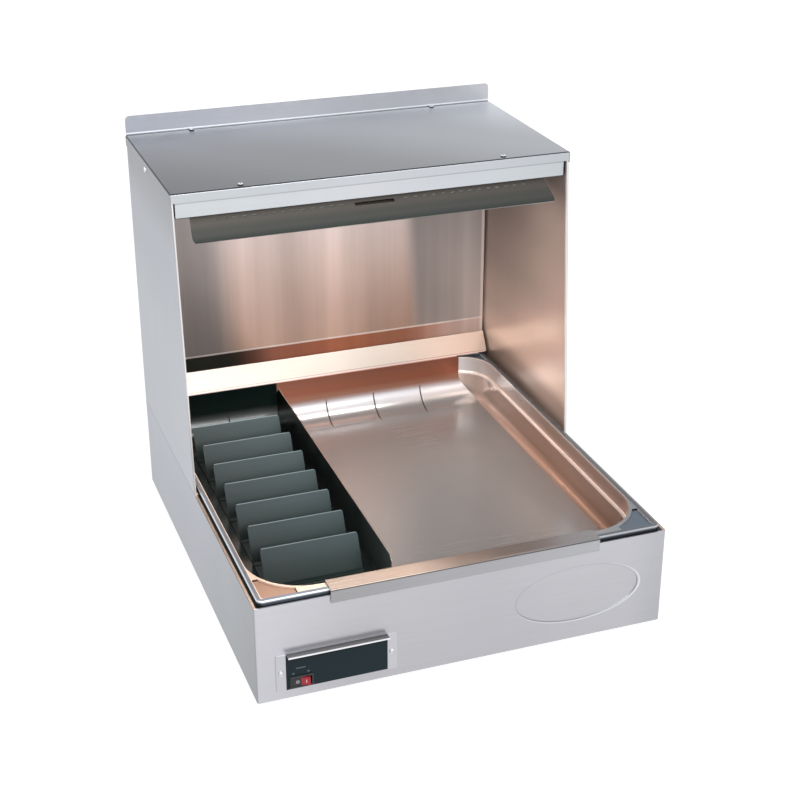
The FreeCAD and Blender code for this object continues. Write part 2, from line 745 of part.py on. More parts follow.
def rim_outline(inset, z0, z1, radius=None):
    corner = PAN_RIM_R - inset if radius is None else radius
    return slab(HALF - PAN_RIM_INSET - inset, PAN_FRONT + inset, DEPTH - PAN_BACK_INSET - inset,
                corner, corner, z0, z1)


RIM_Z = LEDGE_Z + RUN_GAP + PAN_RIM_H
LAND_Z = RIM_Z - PAN_LAND_DROP
STEP_Z = RIM_Z - PAN_STEP_DROP
PAN_Z = RIM_Z - PAN_DEEP


def pan_form(shrink):
    """The pan's outer form, or with a shrink of one wall, the space inside it."""
    upper = pan_outline(shrink, STEP_Z + shrink, LAND_Z)
    upper = round_rim(upper, STEP_Z + shrink, PAN_STEP_ROUND)
    lower = pan_outline(PAN_STEP + shrink, PAN_Z + shrink, LAND_Z)
    lower = round_rim(lower, PAN_Z + shrink, PAN_FLOOR_R - shrink)
    return fuse(upper, lower)


def food_pan():
    """Deep-drawn pan: rolled rim, corner pockets, a stacking step and a rounded floor."""
    low = LEDGE_Z + RUN_GAP
    rim = round_rim(rim_outline(0, low, RIM_Z), RIM_Z, PAN_BEAD_R)
    rim = rim.cut(round_rim(rim_outline(FOIL, low - OVERRUN, RIM_Z - FOIL), RIM_Z - FOIL,
                            PAN_BEAD_R - FOIL))
    dish = rim_outline(PAN_BEAD, LAND_Z, RIM_Z + OVERRUN)
    dish_back = rim_outline(PAN_BEAD - FOIL, LAND_Z - FOIL, RIM_Z - FOIL)
    dish_back = dish_back.common(rim_outline(FOIL, LAND_Z - FOIL, RIM_Z))
    rim = fuse(rim, dish_back).cut(dish)
    pocket, tray = pockets(0), pockets(FOIL)
    rim = fuse(rim.cut(pan_outline(0, low - OVERRUN, RIM_Z + OVERRUN)), tray)
    body = pan_form(-FOIL).fuse(pan_outline(-FOIL, LAND_Z - FOIL, LAND_Z))
    pan = fuse(rim, body)
    hollow = pan_form(0).fuse(pan_outline(0, LAND_Z - FOIL, LAND_Z + OVERRUN))
    return pan.cut([hollow, pocket]).removeSplitter()


def pockets(grow):
    """Four sunk triangles between the pan's round mouth and its squarer rim."""
    top = LAND_Z + (OVERRUN if grow == 0 else 0)
    low = LAND_Z - POCKET_DEEP - grow
    ring = rim_outline(POCKET_INSET - grow, low, top, POCKET_R + grow)
    ring = ring.cut(pan_outline(grow - POCKET_WALL, low - OVERRUN, top + OVERRUN))
    reach = POCKET_REACH - grow
    wide = HALF - PAN_RIM_INSET - reach
    front, back = PAN_FRONT + reach, DEPTH - PAN_BACK_INSET - reach
    middle = fuse(block(-wide, wide, -OVERRUN, DEPTH, low - OVERRUN, top + OVERRUN),
                  block(-HALF, HALF, front, back, low - OVERRUN, top + OVERRUN))
    return ring.cut(middle)


# Serving liner, divider and portion rack

LINER_Z = PAN_Z + RUN_GAP
LIP_Z = RIM_Z + RUN_GAP
PAN_WALL_BACK = DEPTH - PAN_MOUTH_BACK - PAN_STEP
LINER_BACK = PAN_WALL_BACK - LINER_BACK_GAP
WALL_TOP = RIM_Z + WALL_RISE
LINER_HALF = HALF - PAN_MOUTH_INSET - PAN_STEP - PAN_FLOOR_R
SLOTS = spread(SLOT_COUNT, 2 * (LINER_HALF - SLOT_END) / (SLOT_COUNT - 1))


def liner_path():
    front = -LIP_OUT
    slope = front + LIP_RUN
    return [(front, LIP_Z - LIP_DROP), (front, LIP_Z), (slope, LIP_Z),
            (slope + SLOPE_RUN, LINER_Z), (LINER_BACK, LINER_Z), (LINER_BACK, WALL_TOP),
            (LINER_BACK + BACK_LIP_RUN, WALL_TOP + BACK_LIP_RISE)]


def serving_liner():
    """One curved sheet: a lip hooked over the front, a scooped floor and a leaning back lip."""
    bends = [BEND, BEND, LINER_FRONT_R, LINER_BACK_R, BEND]
    lip = HALF - BACK_LIP_INSET
    form = sheet(liner_path(), LINING, bends, "x", -lip, lip)
    tray = slab(LINER_HALF, PAN_MOUTH_FRONT + PAN_STEP + LINER_FIT, PAN_WALL_BACK - LINER_FIT,
                TRAY_FRONT_R, TRAY_BACK_R, PAN_Z, LIP_Z + BACK_LIP_RISE)
    hook = block(LIP_INSET - HALF, HALF - LIP_INSET, -LIP_RUN, LIP_RUN + PAN_STEP, PAN_Z,
                 RIM_Z + OVERRUN)
    top_z = WALL_TOP + BACK_LIP_RISE + OVERRUN
    crest = block(-lip, lip, LINER_BACK - LINING, DEPTH, WALL_TOP + BEND, top_z)
    low_corners = [e for e in crest.Edges if runs_along_y(e) and lies_at(e, "Z", WALL_TOP + BEND)]
    crest = crest.makeFillet(BACK_LIP_R, low_corners)
    neck_z = LINER_Z + LINER_BACK_R
    neck = block(-LINER_HALF, LINER_HALF, LINER_BACK - LINING, DEPTH, neck_z, WALL_TOP + BEND)
    parts = [form.common(tray).cut(block(-lip, lip, LINER_BACK - LINING - SEAT_GAP, DEPTH, WALL_TOP,
                                         top_z)),
             form.common(hook), form.common(crest), form.common(neck.common(tray_neck()))]
    cuts = []
    for x in SLOTS:
        for y0, y1 in ((LINER_BACK - SLOT_FLOOR, LINER_BACK + OVERRUN),
                       (LIP_RUN, LIP_RUN + SLOT_FLOOR)):
            cuts.append(block(x - SLOT_WIDE / 2, x + SLOT_WIDE / 2, y0, y1, LINER_Z - OVERRUN,
                              LINER_Z + SLOT_TOP))
    return fuse(*parts).cut(cuts)


def tray_neck():
    """Straight-sided stretch of the liner's back wall, as wide as its round corners leave."""
    centre = DEPTH - PAN_MOUTH_BACK - PAN_R_BACK
    radius = PAN_R_BACK - PAN_STEP - LINER_FIT
    reach = math.sqrt(radius ** 2 - (LINER_BACK - centre) ** 2)
    half = HALF - PAN_MOUTH_INSET - PAN_R_BACK + reach
    return block(-half, half, 0, DEPTH, 0, LID_Z)


def divider():
    """Upright plate between the two bays, with hooks that sit in the liner's slots."""
    low = LINER_Z + LINING + RUN_GAP
    radius = LINER_BACK_R - RUN_GAP
    centre_y, centre_z = LINER_BACK - LINING - LINER_BACK_R, LINER_Z + LINING + LINER_BACK_R

    def on_arc(share, reach):
        turn = math.radians(QUARTER_TURN) * share
        return centre_y + reach * math.sin(turn), centre_z - reach * math.cos(turn)

    back = on_arc(1, radius)
    outline = [(DIVIDER_FRONT, low), (DIVIDER_FRONT, low + DIVIDER_FRONT_RISE - DIVIDER_NOSE),
               (DIVIDER_FRONT + DIVIDER_NOSE, low + DIVIDER_FRONT_RISE),
               (back[0] - DIVIDER_HEEL, low + DIVIDER_BACK_RISE),
               (back[0], low + DIVIDER_BACK_RISE - DIVIDER_SHOULDER), back]
    arc_start = on_arc(0, radius)
    edges = [Part.LineSegment(place(*a, "x"), place(*b, "x")) for a, b in zip(outline, outline[1:])]
    edges.append(Part.Arc(place(*back, "x"), place(*on_arc(0.5, radius), "x"),
                          place(*arc_start, "x")))
    edges.append(Part.LineSegment(place(*arc_start, "x"), place(*outline[0], "x")))
    x = SLOTS[DIVIDER_SLOT_COUNT - 1]
    plate = extrude([edge.toShape() for edge in edges], "x", x - DIVIDER_T / 2, x + DIVIDER_T / 2)
    hook = prism([on_arc(TAB_LOW_SHARE, radius - TAB_OUT), on_arc(TAB_LOW_SHARE, radius + TAB_OUT),
                  on_arc(TAB_HIGH_SHARE, radius + TAB_OUT),
                  on_arc(TAB_HIGH_SHARE, radius - TAB_OUT)],
                 "x", x - DIVIDER_T / 2, x + DIVIDER_T / 2)
    return fuse(plate, hook)


RACK_Z = LINER_Z + LINING + RUN_GAP
RACK_X = RACK_LEFT_GAP - LINER_HALF
RACK_RIGHT = SLOTS[DIVIDER_SLOT_COUNT - 1] - DIVIDER_T / 2 - RACK_RIGHT_GAP
RACK_PITCH = (LINER_BACK - RACK_BACK_GAP - RACK_FIRST) / (RACK_COUNT - 1)


def rack_base():
    """Flat sheet that the leaning plates are welded to."""
    end = RACK_FIRST + RACK_PITCH * (RACK_COUNT - 1)
    return block(RACK_X, RACK_RIGHT, RACK_FIRST - RACK_END, end + RACK_END, RACK_Z,
                 RACK_Z + RACK_T)


def rack_plate(number):
    """A leaning plate with a foot folded forward onto the rack's base."""
    y = RACK_FIRST + RACK_PITCH * (number - 1)
    z = RACK_Z + RACK_T
    plate = sheet([(y + RACK_LEAN, z + RACK_RISE), (y, z), (y - RACK_FOOT, z)], -RACK_T, RACK_T,
                  "x", RACK_X, RACK_RIGHT)
    corner = RACK_CHAMFER
    cuts = []
    for x, side in ((RACK_X, 1), (RACK_RIGHT, -1)):
        top = z + RACK_RISE
        cuts.append(prism([(x - side * OVERRUN, top + OVERRUN), (x - side * OVERRUN, top - corner),
                           (x, top - corner), (x + side * corner, top),
                           (x + side * corner, top + OVERRUN)], "y", y, y + RACK_LEAN + OVERRUN))
    return plate.cut(cuts)


# Hood

def hood_side(side):
    """Side wall with a hemmed slanting front edge and flanges at the foot, top and back."""
    top = LID_UNDER
    back = HOOD_INNER + SKIN
    wall = prism([(SIDE_FRONT_LOW, LEDGE_Z), (back, LEDGE_Z), (back, top), (SIDE_FRONT_TOP, top)],
                 "x", -HALF, -INSIDE)
    hem = prism([(SIDE_FRONT_LOW, LEDGE_Z), (SIDE_FRONT_LOW + HEM, LEDGE_Z),
                 (SIDE_FRONT_TOP + HEM, top), (SIDE_FRONT_TOP, top)], "x", -INSIDE, -INSIDE + SKIN)
    foot = block(-HALF, -HALF + SIDE_FOOT, SIDE_FRONT_LOW, BASE_BACK_IN, LEDGE_Z, LEDGE_Z + SKIN)
    roof = block(-HALF, -HALF + SIDE_TOP_FLANGE, SIDE_FRONT_TOP + SIDE_FLANGE_BACK, BASE_BACK_IN - SKIN,
                 top - SKIN, top)
    return_back = block(-HALF, -HALF + SIDE_RETURN, HOOD_INNER, back, LEDGE_Z, top)
    shape = fuse(wall, hem, foot, roof, return_back)
    crease = [e for e in shape.Edges if lies_at(e, "X", -HALF) and lies_at(e, "Z", top)]
    shape = shape.makeFillet(LID_ROUND - LINING, crease)
    shape = shape.cut([hole((-HALF + BACK_SCREW_INSET, BACK_IN, z), (0, 1, 0))
                       for x, z in HOOD_BACK_SCREWS if x < 0]
                      + [hole((-HALF, SIDE_SCREW_Y, LID_Z - SIDE_SCREW_DROP), (1, 0, 0))])
    return shape if side < 0 else shape.mirror(V(0, 0, 0), V(1, 0, 0))


def hood_outer_back():
    """Outer back skin, lapped over the base's back and raised above the lid as a splash guard."""
    top = LID_Z + SPLASH_RISE
    skin = block(-HALF, HALF, BACK_IN, DEPTH, LEDGE_Z - LAP, top)
    corners = [e for e in skin.Edges if runs_along_y(e) and lies_at(e, "Z", top)]
    skin = skin.makeFillet(SPLASH_R, corners)
    return skin.cut([hole((x, BACK_IN, z), (0, 1, 0)) for x, z in LAP_SCREWS + HOOD_BACK_SCREWS])


def hood_inner_back():
    """Polished inner back wall, spaced off the outer skin, with a hemmed lower edge."""
    half = INSIDE - INNER_BACK_SIDE_GAP
    front, top = INNER_BACK_Y, LID_UNDER - SKIN - SEAT_GAP
    low = LEDGE_Z + INNER_BACK_RISE
    wall = block(-half, half, front, front + LINING, low, top)
    hem = block(-half, half, front + LINING, front + 2 * LINING, low, low + HEM)
    sides = both_sides(block(-half, -half + LINING, front + LINING, HOOD_INNER, low + HEM, top))
    inner = HALF - INNER_TOP_INSET
    neck = block(-inner, inner, front, front + LINING, top, LID_UNDER)
    shelf = block(-inner, inner, front, HOOD_INNER - SEAT_GAP, LID_UNDER - LINING, LID_UNDER)
    shape = fuse(wall, hem, neck, shelf, *sides)
    cuts = [hole((x, y, LID_UNDER), (0, 0, 1)) for x, y in LID_SCREWS if y > SIDE_SCREW_Y]
    cuts += [block(x - LEAD_R * 2, x + LEAD_R * 2, front - OVERRUN, front + LINING + OVERRUN,
                   CEILING_Z + LINING, LID_UNDER - LINING) for x in (-LEAD_X, LEAD_X)]
    return shape.cut(cuts)


def hood_lid():
    """Lid with folded-down front and side flanges."""
    half = HALF + SEAT_GAP + LINING
    back = BACK_IN - LID_BACK_GAP
    low = LID_Z - LID_SIDE_DROP
    form = block(-half, half, LID_FRONT, back, low, LID_Z)
    upper = [e for e in form.Edges if lies_at(e, "Z", LID_Z) and not lies_at(e, "Y", back)]
    form = form.makeFillet(LID_ROUND, upper)
    space = block(-half + LINING, half - LINING, LID_FRONT + LINING, back + OVERRUN,
                  low - OVERRUN, LID_UNDER)
    rounded = [e for e in space.Edges
               if lies_at(e, "Z", LID_UNDER) and not lies_at(e, "Y", back + OVERRUN)]
    space = space.makeFillet(LID_ROUND - LINING, rounded)
    lid = form.cut(space)
    trim = block(-HALF, HALF, LID_FRONT - OVERRUN, LID_FRONT + LINING + SEAT_GAP,
                 low - OVERRUN, LID_Z - LID_FRONT_DROP)
    corner = prism([(back + OVERRUN, low - OVERRUN), (back + OVERRUN, low + LID_CORNER),
                    (back - LID_CORNER, low - OVERRUN)], "x", -half - OVERRUN, half + OVERRUN)
    cuts = [trim, corner]
    cuts += [hole((x, y, LID_Z), (0, 0, 1)) for x, y in LID_SCREWS]
    cuts += [hole((x, SIDE_SCREW_Y, LID_Z - SIDE_SCREW_DROP), (1, 0, 0)) for x in (-HALF, HALF)]
    return lid.cut(cuts)


def hood_fascia():
    """Front strip hung under the lid, folded back at its top and bottom edges."""
    half = HALF - FASCIA_INSET
    strip = sheet([(FASCIA_FRONT + FASCIA_RETURN, FASCIA_Z), (FASCIA_FRONT, FASCIA_Z),
                   (FASCIA_FRONT, LID_UNDER), (FASCIA_FRONT + FASCIA_TOP_FLANGE, LID_UNDER)],
                  -SKIN, BEND, "x", -half, half)
    return strip.cut([hole((x, y, LID_UNDER), (0, 0, 1)) for x, y in LID_SCREWS
                      if y < SIDE_SCREW_Y])


def ceiling_panel():
    """Heat shield under the lid that closes in the wiring, resting on the fascia's return."""
    half = INSIDE - CEILING_GAP
    front = FASCIA_FRONT + CEILING_FRONT_STEP
    low = FASCIA_Z + SKIN
    panel = sheet([(front, low), (front, CEILING_Z), (INNER_BACK_Y, CEILING_Z),
                   (INNER_BACK_Y, CEILING_Z - CEILING_SKIRT)], -LINING, LINING, "x", -half, half)
    cuts = [hole((x, y, CEILING_Z), (0, 0, 1)) for x, y in HEATER_SCREWS]
    cuts += [rod((x, element_y(), CEILING_Z - OVERRUN), (0, 0, 1), GROMMET_R, 2 * OVERRUN)
             for x in (-lead_out(), lead_out())]
    return panel.cut(cuts)


def lid_screws():
    """Six domed screws: four on top of the lid and one in each side flange."""
    screws = [screw((x, y, LID_Z), (0, 0, -1)) for x, y in LID_SCREWS]
    edge = HALF + SEAT_GAP + LINING
    z = LID_Z - SIDE_SCREW_DROP
    screws.append(screw((-edge, SIDE_SCREW_Y, z), (1, 0, 0)))
    screws.append(screw((edge, SIDE_SCREW_Y, z), (-1, 0, 0)))
    return screws


def hood_back_screws():
    return [screw((x, DEPTH, z), (0, -1, 0), SCREW_LENGTH - SKIN)
            for x, z in LAP_SCREWS + HOOD_BACK_SCREWS]


# Radiant heater

HEATER_Z = CEILING_Z - LINING - HEATER_TALL


def element_y():
    return HEATER_FRONT + HEATER_DEEP / 2


def element_z():
    return CEILING_Z - LINING - ELEMENT_DROP


def pin_end():
    return HEATER_HALF + LINING + ELEMENT_PIN


def lead_out():
    return pin_end() - LEAD_R


def lead_y():
    return HOOD_INNER - INNER_BACK_GAP / 2


def heater_housing():
    """Inverted channel screwed to the underside of the ceiling."""
    back = HEATER_FRONT + HEATER_DEEP
    top = CEILING_Z - LINING
    shell = sheet([(HEATER_FRONT, HEATER_Z), (HEATER_FRONT, top), (back, top), (back, HEATER_Z)],
                  -LINING, LINING, "x", -HEATER_HALF, HEATER_HALF)
    return shell.cut([hole((x, y, top), (0, 0, 1)) for x, y in HEATER_SCREWS])


def heater_end_caps():
    """Plates that close the channel's ends and hold the ceramic bushes."""
    front, back = HEATER_FRONT + LINING, HEATER_FRONT + HEATER_DEEP - LINING
    top = CEILING_Z - LINING - LINING
    cap = block(HEATER_HALF - LINING, HEATER_HALF, front, back, HEATER_Z, top)
    tab = block(HEATER_HALF - LINING - END_CAP_FLANGE, HEATER_HALF, front, back,
                HEATER_Z, HEATER_Z + LINING)
    mid = element_y()
    tab = tab.cut(block(0, HEATER_HALF - LINING, front + END_CAP_FLANGE, back - END_CAP_FLANGE,
                        HEATER_Z - OVERRUN, HEATER_Z + OVERRUN))
    cap = fuse(cap, tab).cut(hole((HEATER_HALF, mid, element_z()), (1, 0, 0), BUSH_R + ELEMENT_FIT))
    return both_sides(cap)


def heater_reflector():
    """Polished trough over the element, its lips seated against the channel's walls."""
    front, back = HEATER_FRONT + LINING, HEATER_FRONT + HEATER_DEEP - LINING
    low = HEATER_Z + LINING + SEAT_GAP
    inner = REFLECTOR_LIP + REFLECTOR_SLOPE
    half = HEATER_HALF - LINING - SEAT_GAP
    trough = sheet([(front, low), (front + REFLECTOR_LIP, low),
                    (front + inner, low + REFLECTOR_RISE), (back - inner, low + REFLECTOR_RISE),
                    (back - REFLECTOR_LIP, low), (back, low)], REFLECTOR_T, LINING,
                   "x", -half, half)
    cuts = [block(x - HANGER_WIDE / 2 - SEAT_GAP, x + HANGER_WIDE / 2 + SEAT_GAP,
                  element_y() - ELEMENT_R, element_y() + ELEMENT_R, low, CEILING_Z)
            for x in spread(HANGER_COUNT, HANGER_PITCH)]
    return trough.cut(cuts)


def heater_shade():
    """Sloping front wing that screens the element from the operator."""
    top_y = HEATER_FRONT
    low_y = top_y - SHADE_REACH
    half, top_half = HALF - SHADE_INSET, HALF - SHADE_TOP_INSET
    z = LID_Z - SHADE_Z
    rise = z + SHADE_RISE
    flange = rise + SHADE_FLANGE
    wing = sheet([(low_y, z), (top_y, rise), (top_y, flange)], LINING, BEND, "x", -half, half)
    plan = [(-top_half, flange), (-top_half, rise), (-half, z - LINING), (half, z - LINING),
            (top_half, rise), (top_half, flange), (-top_half, flange)]
    edges = rounded_edges(plan, [0, SHADE_R, SHADE_R, 0, 0], "y")
    wing = wing.common(extrude([e.toShape() for e in edges], "y", 0, DEPTH))
    slot_z = rise - SHADE_SLOT_DROP
    cuts = [block(-SHADE_SLOT / 2, SHADE_SLOT / 2, low_y, top_y + OVERRUN,
                  slot_z - SHADE_SLOT_TALL, slot_z)]
    for x in spread(int(2 * (top_half - PERF_END) / PERF_PITCH), PERF_PITCH):
        if abs(x) > SHADE_SLOT / 2 + PERF_LONG:
            cuts.append(block(x - PERF_LONG / 2, x + PERF_LONG / 2, low_y, top_y + OVERRUN,
                              slot_z - PERF_TALL, slot_z))
    return wing.cut(cuts)


def heating_element():
    """Sheathed rod with a terminal pin at each end."""
    x = HEATER_HALF + BUSH_OUT - LINING
    at = element_y(), element_z()
    pin = pin_end()
    return fuse(rod((-x, *at), (1, 0, 0), ELEMENT_R, 2 * x),
                rod((-pin, *at), (1, 0, 0), ELEMENT_PIN_R, 2 * pin))


def element_bushes():
    """Ceramic bushes that carry the rod's ends in the end caps."""
    at = element_y(), element_z()
    start = HEATER_HALF - LINING - BUSH_IN
    length = BUSH_IN + LINING + BUSH_OUT
    sleeve = fuse(rod((start, *at), (1, 0, 0), BUSH_R, length),
                  rod((HEATER_HALF - LINING - BUSH_FLANGE, *at), (1, 0, 0), BUSH_FLANGE_R,
                      BUSH_FLANGE))
    sleeve = sleeve.cut([rod((start - OVERRUN, *at), (1, 0, 0), ELEMENT_R + ELEMENT_FIT,
                             length + 2 * OVERRUN)])
    return both_sides(sleeve)


def element_hangers():
    """Strips that hang from the channel and loop under the rod between its ends."""
    top = CEILING_Z - 2 * LINING
    y, z = element_y(), element_z()
    reach = ELEMENT_R + ELEMENT_FIT
    solids = []
    for x in spread(HANGER_COUNT, HANGER_PITCH):
        ring = rod((x - HANGER_WIDE / 2, y, z), (1, 0, 0), reach + HANGER_T, HANGER_WIDE)
        strap = block(x - HANGER_WIDE / 2, x + HANGER_WIDE / 2, y - HANGER_T / 2, y + HANGER_T / 2,
                      z, top)
        loop = fuse(ring, strap).cut(rod((x - HANGER_WIDE, y, z), (1, 0, 0), reach,
                                         HANGER_WIDE * 2))
        solids.append(loop)
    return solids


def element_terminals():
    """Nuts on the rod's pins."""
    at = element_y(), element_z()
    start = lead_out() - LEAD_R - ELEMENT_FIT - TERMINAL_NUT
    body = rod((start, *at), (1, 0, 0), ELEMENT_R, TERMINAL_NUT)
    body = body.cut(rod((start - OVERRUN, *at), (1, 0, 0), ELEMENT_PIN_R + ELEMENT_FIT,
                        TERMINAL_NUT + 2 * OVERRUN))
    return both_sides(body)


def heater_screws():
    return [screw((x, y, CEILING_Z - 2 * LINING), (0, 0, 1)) for x, y in HEATER_SCREWS]


def lead_grommets():
    """Bushes that line the ceiling's lead holes."""
    solids = []
    for x in (-lead_out(), lead_out()):
        at = (x, element_y(), CEILING_Z - LINING - (GROMMET_T - LINING) / 2)
        body = rod(at, (0, 0, 1), GROMMET_R + LINING, GROMMET_T)
        waist = rod((x, element_y(), CEILING_Z - LINING), (0, 0, 1), GROMMET_R + 2 * LINING, LINING)
        waist = waist.cut(rod((x, element_y(), CEILING_Z - LINING - OVERRUN), (0, 0, 1), GROMMET_R,
                              2 * OVERRUN))
        body = body.cut([waist, hole(at, (0, 0, 1), LEAD_R + ELEMENT_FIT, 2 * GROMMET_T)])
        solids.append(body)
    return solids


def heater_leads():
    """Two leads from the rod's ends, over the ceiling and down the back to the terminal strip."""
    solids = []
    block_y = BASE_BACK_IN - BLOCK_Y
    port = FLOOR_TOP + BLOCK_TALL / 2
    over = CEILING_Z + LEAD_LIFT
    pin_top = element_z() + ELEMENT_PIN_R
    for side, way in zip((-1, 1), block_ways()[-2:]):
        x = side * lead_out()
        x_back = side * LEAD_X
        points = [(x, element_y(), pin_top), (x, element_y(), over),
                  (x, INNER_BACK_Y - LEAD_CROSS, over), (x_back, INNER_BACK_Y - LEAD_CROSS, over),
                  (x_back, lead_y(), over), (x_back, lead_y(), LEAD_TURN_Z),
                  (way, block_y + LEAD_APPROACH, port), (way, block_y + WIRE_END, port)]
        solids.append(tube(points, LEAD_R, LEAD_BEND))
    return solids


# Controls

def control_plate():
    """Plate on the front with a folded visor over its label."""
    wide = PLATE_WIDE / 2 - VISOR_SIDE
    z1 = PLATE_Z + PLATE_TALL
    flat = block(PLATE_X, PLATE_X + PLATE_WIDE, -SKIN, 0, PLATE_Z, z1)
    flat = flat.makeFillet(PLATE_R, [e for e in flat.Edges if runs_along_y(e)])
    visor = sheet([(0, PLATE_Z + PLATE_R), (0, z1 + VISOR_RISE), (-VISOR_REACH, z1 + VISOR_RISE)],
                  SKIN, SKIN / 2, "x", PLATE_MID - wide, PLATE_MID + wide)
    cuts = [switch_hole(SWITCH_CUT)]
    cuts += [hole((x, 0, z), (0, 1, 0)) for x, z in PLATE_SCREWS]
    return fuse(flat, visor).cut(cuts)


def switch_hole(gap):
    return block(SWITCH_MID_X - SWITCH_WIDE / 2 - gap, SWITCH_MID_X + SWITCH_WIDE / 2 + gap,
                 -OVERRUN, OVERRUN, SWITCH_MID_Z - SWITCH_TALL / 2 - gap,
                 SWITCH_MID_Z + SWITCH_TALL / 2 + gap)


def control_label():
    """Printed label, left plain but for what belongs to the switch."""
    half = PLATE_WIDE / 2 - LABEL_SIDE
    card = block(PLATE_MID - half, PLATE_MID + half, LABEL_Y, -SKIN, PLATE_Z + LABEL_MARGIN,
                 PLATE_Z + PLATE_TALL - LABEL_TOP)
    return card.cut(switch_hole(SWITCH_CUT))


def control_plate_screws():
    return [screw((x, -SKIN, z), (0, 1, 0)) for x, z in PLATE_SCREWS]


def switch_body():
    """Snap-in housing: a bezel on the label and a hollow body behind it."""
    x, z = SWITCH_MID_X, SWITCH_MID_Z
    half, rise = SWITCH_WIDE / 2, SWITCH_TALL / 2
    bezel = block(x - half - BEZEL_SIDE, x + half + BEZEL_SIDE, LABEL_Y - BEZEL_T, LABEL_Y,
                  z - rise - BEZEL_EDGE, z + rise + BEZEL_EDGE)
    bezel = bezel.makeFillet(BEZEL_R, [e for e in bezel.Edges
                                       if e.BoundBox.YMax < LABEL_Y - BEZEL_T / 2])
    body = block(x - half, x + half, LABEL_Y, LABEL_Y + SWITCH_DEEP, z - rise, z + rise)
    well = block(x - half + SWITCH_WALL, x + half - SWITCH_WALL, LABEL_Y - BEZEL_T - OVERRUN,
                 LABEL_Y + SWITCH_WELL, z - rise + SWITCH_LIP, z + rise - SWITCH_LIP)
    pins = rod((x, pivot_y(), z - SWITCH_TALL), (0, 0, 1), PIVOT_R + PIVOT_FIT, 2 * SWITCH_TALL)
    return fuse(bezel, body).cut([well, pins])


def pivot_y():
    return LABEL_Y + ROCKER_PIVOT


def rocker():
    """Rocker with two shallow faces, stored with its left half pressed."""
    half = SWITCH_WIDE / 2 - SWITCH_WALL - ROCKER_END_GAP
    mouth = SWITCH_TALL / 2 - SWITCH_LIP
    rim = -ROCKER_FACE - ROCKER_CROWN
    outline = [(-half, rim), (0, -ROCKER_FACE), (half, rim), (half, -ROCKER_ROOT),
               (ROCKER_KEEL_HALF, ROCKER_KEEL), (-ROCKER_KEEL_HALF, ROCKER_KEEL),
               (-half, -ROCKER_ROOT)]
    body = prism(outline, "z", ROCKER_SIDE_GAP - mouth, mouth - ROCKER_SIDE_GAP)
    pin = mouth + PIVOT_OUT
    body = fuse(body, rod((0, 0, -pin), (0, 0, 1), PIVOT_R, 2 * pin))
    body.rotate(V(0, 0, 0), V(0, 0, 1), -ROCKER_TILT)
    body.translate(V(SWITCH_MID_X, pivot_y(), SWITCH_MID_Z))
    return body


def switch_terminals():
    """Four push-on tabs on the switch's back."""
    y = LABEL_Y + SWITCH_DEEP
    return [block(SWITCH_MID_X + dx - TAB_T / 2, SWITCH_MID_X + dx + TAB_T / 2, y, y + TAB_LONG,
                  SWITCH_MID_Z + dz - TAB_WIDE / 2 / 2, SWITCH_MID_Z + dz + TAB_WIDE / 2 / 2)
            for dx in (-TAB_SPREAD, TAB_SPREAD) for dz in (-TAB_WIDE / 2, TAB_WIDE / 2)]


# Mains entry and base wiring

def cord_gland():
    """Gland body: a round dome outside, a threaded sleeve inside and a bore for the cord."""
    dome = rod((GLAND_X, BACK_IN, GLAND_Z), (0, 1, 0), GLAND_DOME_R, GLAND_OUT + SKIN)
    tip = [e for e in dome.Edges if e.BoundBox.YMin > BACK_IN + GLAND_OUT / 2
           and e.BoundBox.YLength < SKIN]
    dome = dome.makeFillet(GLAND_ROUND, tip)
    sleeve = rod((GLAND_X, BACK_IN - GLAND_IN, GLAND_Z), (0, 1, 0), GLAND_THREAD_R, GLAND_IN)
    bore = rod((GLAND_X, BACK_IN - GLAND_IN - OVERRUN, GLAND_Z), (0, 1, 0), GLAND_BORE_R,
               GLAND_IN + GLAND_OUT + SKIN + 2 * OVERRUN)
    return fuse(dome, sleeve).cut(bore)


def gland_nut():
    body = nut((0, 0, 0), GLAND_DOME_R * 2, GLAND_NUT_H, GLAND_THREAD_R + ELEMENT_FIT)
    body.rotate(V(0, 0, 0), V(1, 0, 0), QUARTER_TURN)
    body.translate(V(GLAND_X, BASE_BACK_IN, GLAND_Z))
    return body


def block_holes():
    end = BLOCK_LONG / 2 - BLOCK_HOLE_INSET
    return [BLOCK_X - end, BLOCK_X + end]


def block_ways():
    pitch = (BLOCK_LONG - 2 * BLOCK_END) / BLOCK_WAYS
    return [BLOCK_X + x for x in spread(BLOCK_WAYS, pitch)]


def terminal_block():
    """Ceramic terminal strip with a well and two ports for each way."""
    y = BASE_BACK_IN - BLOCK_Y
    top = FLOOR_TOP + BLOCK_TALL
    body = block(BLOCK_X - BLOCK_LONG / 2, BLOCK_X + BLOCK_LONG / 2, y - BLOCK_WIDE / 2,
                 y + BLOCK_WIDE / 2, FLOOR_TOP, top)
    well = BLOCK_TALL / 2 - WIRE_R
    cuts = [rod((x, y, top - well), (0, 0, 1), BLOCK_SCREW_R, well + OVERRUN)
            for x in block_ways()]
    cuts += [rod((x, y - BLOCK_WIDE, FLOOR_TOP + BLOCK_TALL / 2), (0, 1, 0), BLOCK_PORT_R,
                 2 * BLOCK_WIDE) for x in block_ways()]
    cuts += [hole((x, y, FLOOR_TOP + BLOCK_TALL / 2), (0, 0, 1), SCREW_HOLE_R, BLOCK_TALL)
             for x in block_holes()]
    return body.cut(cuts)


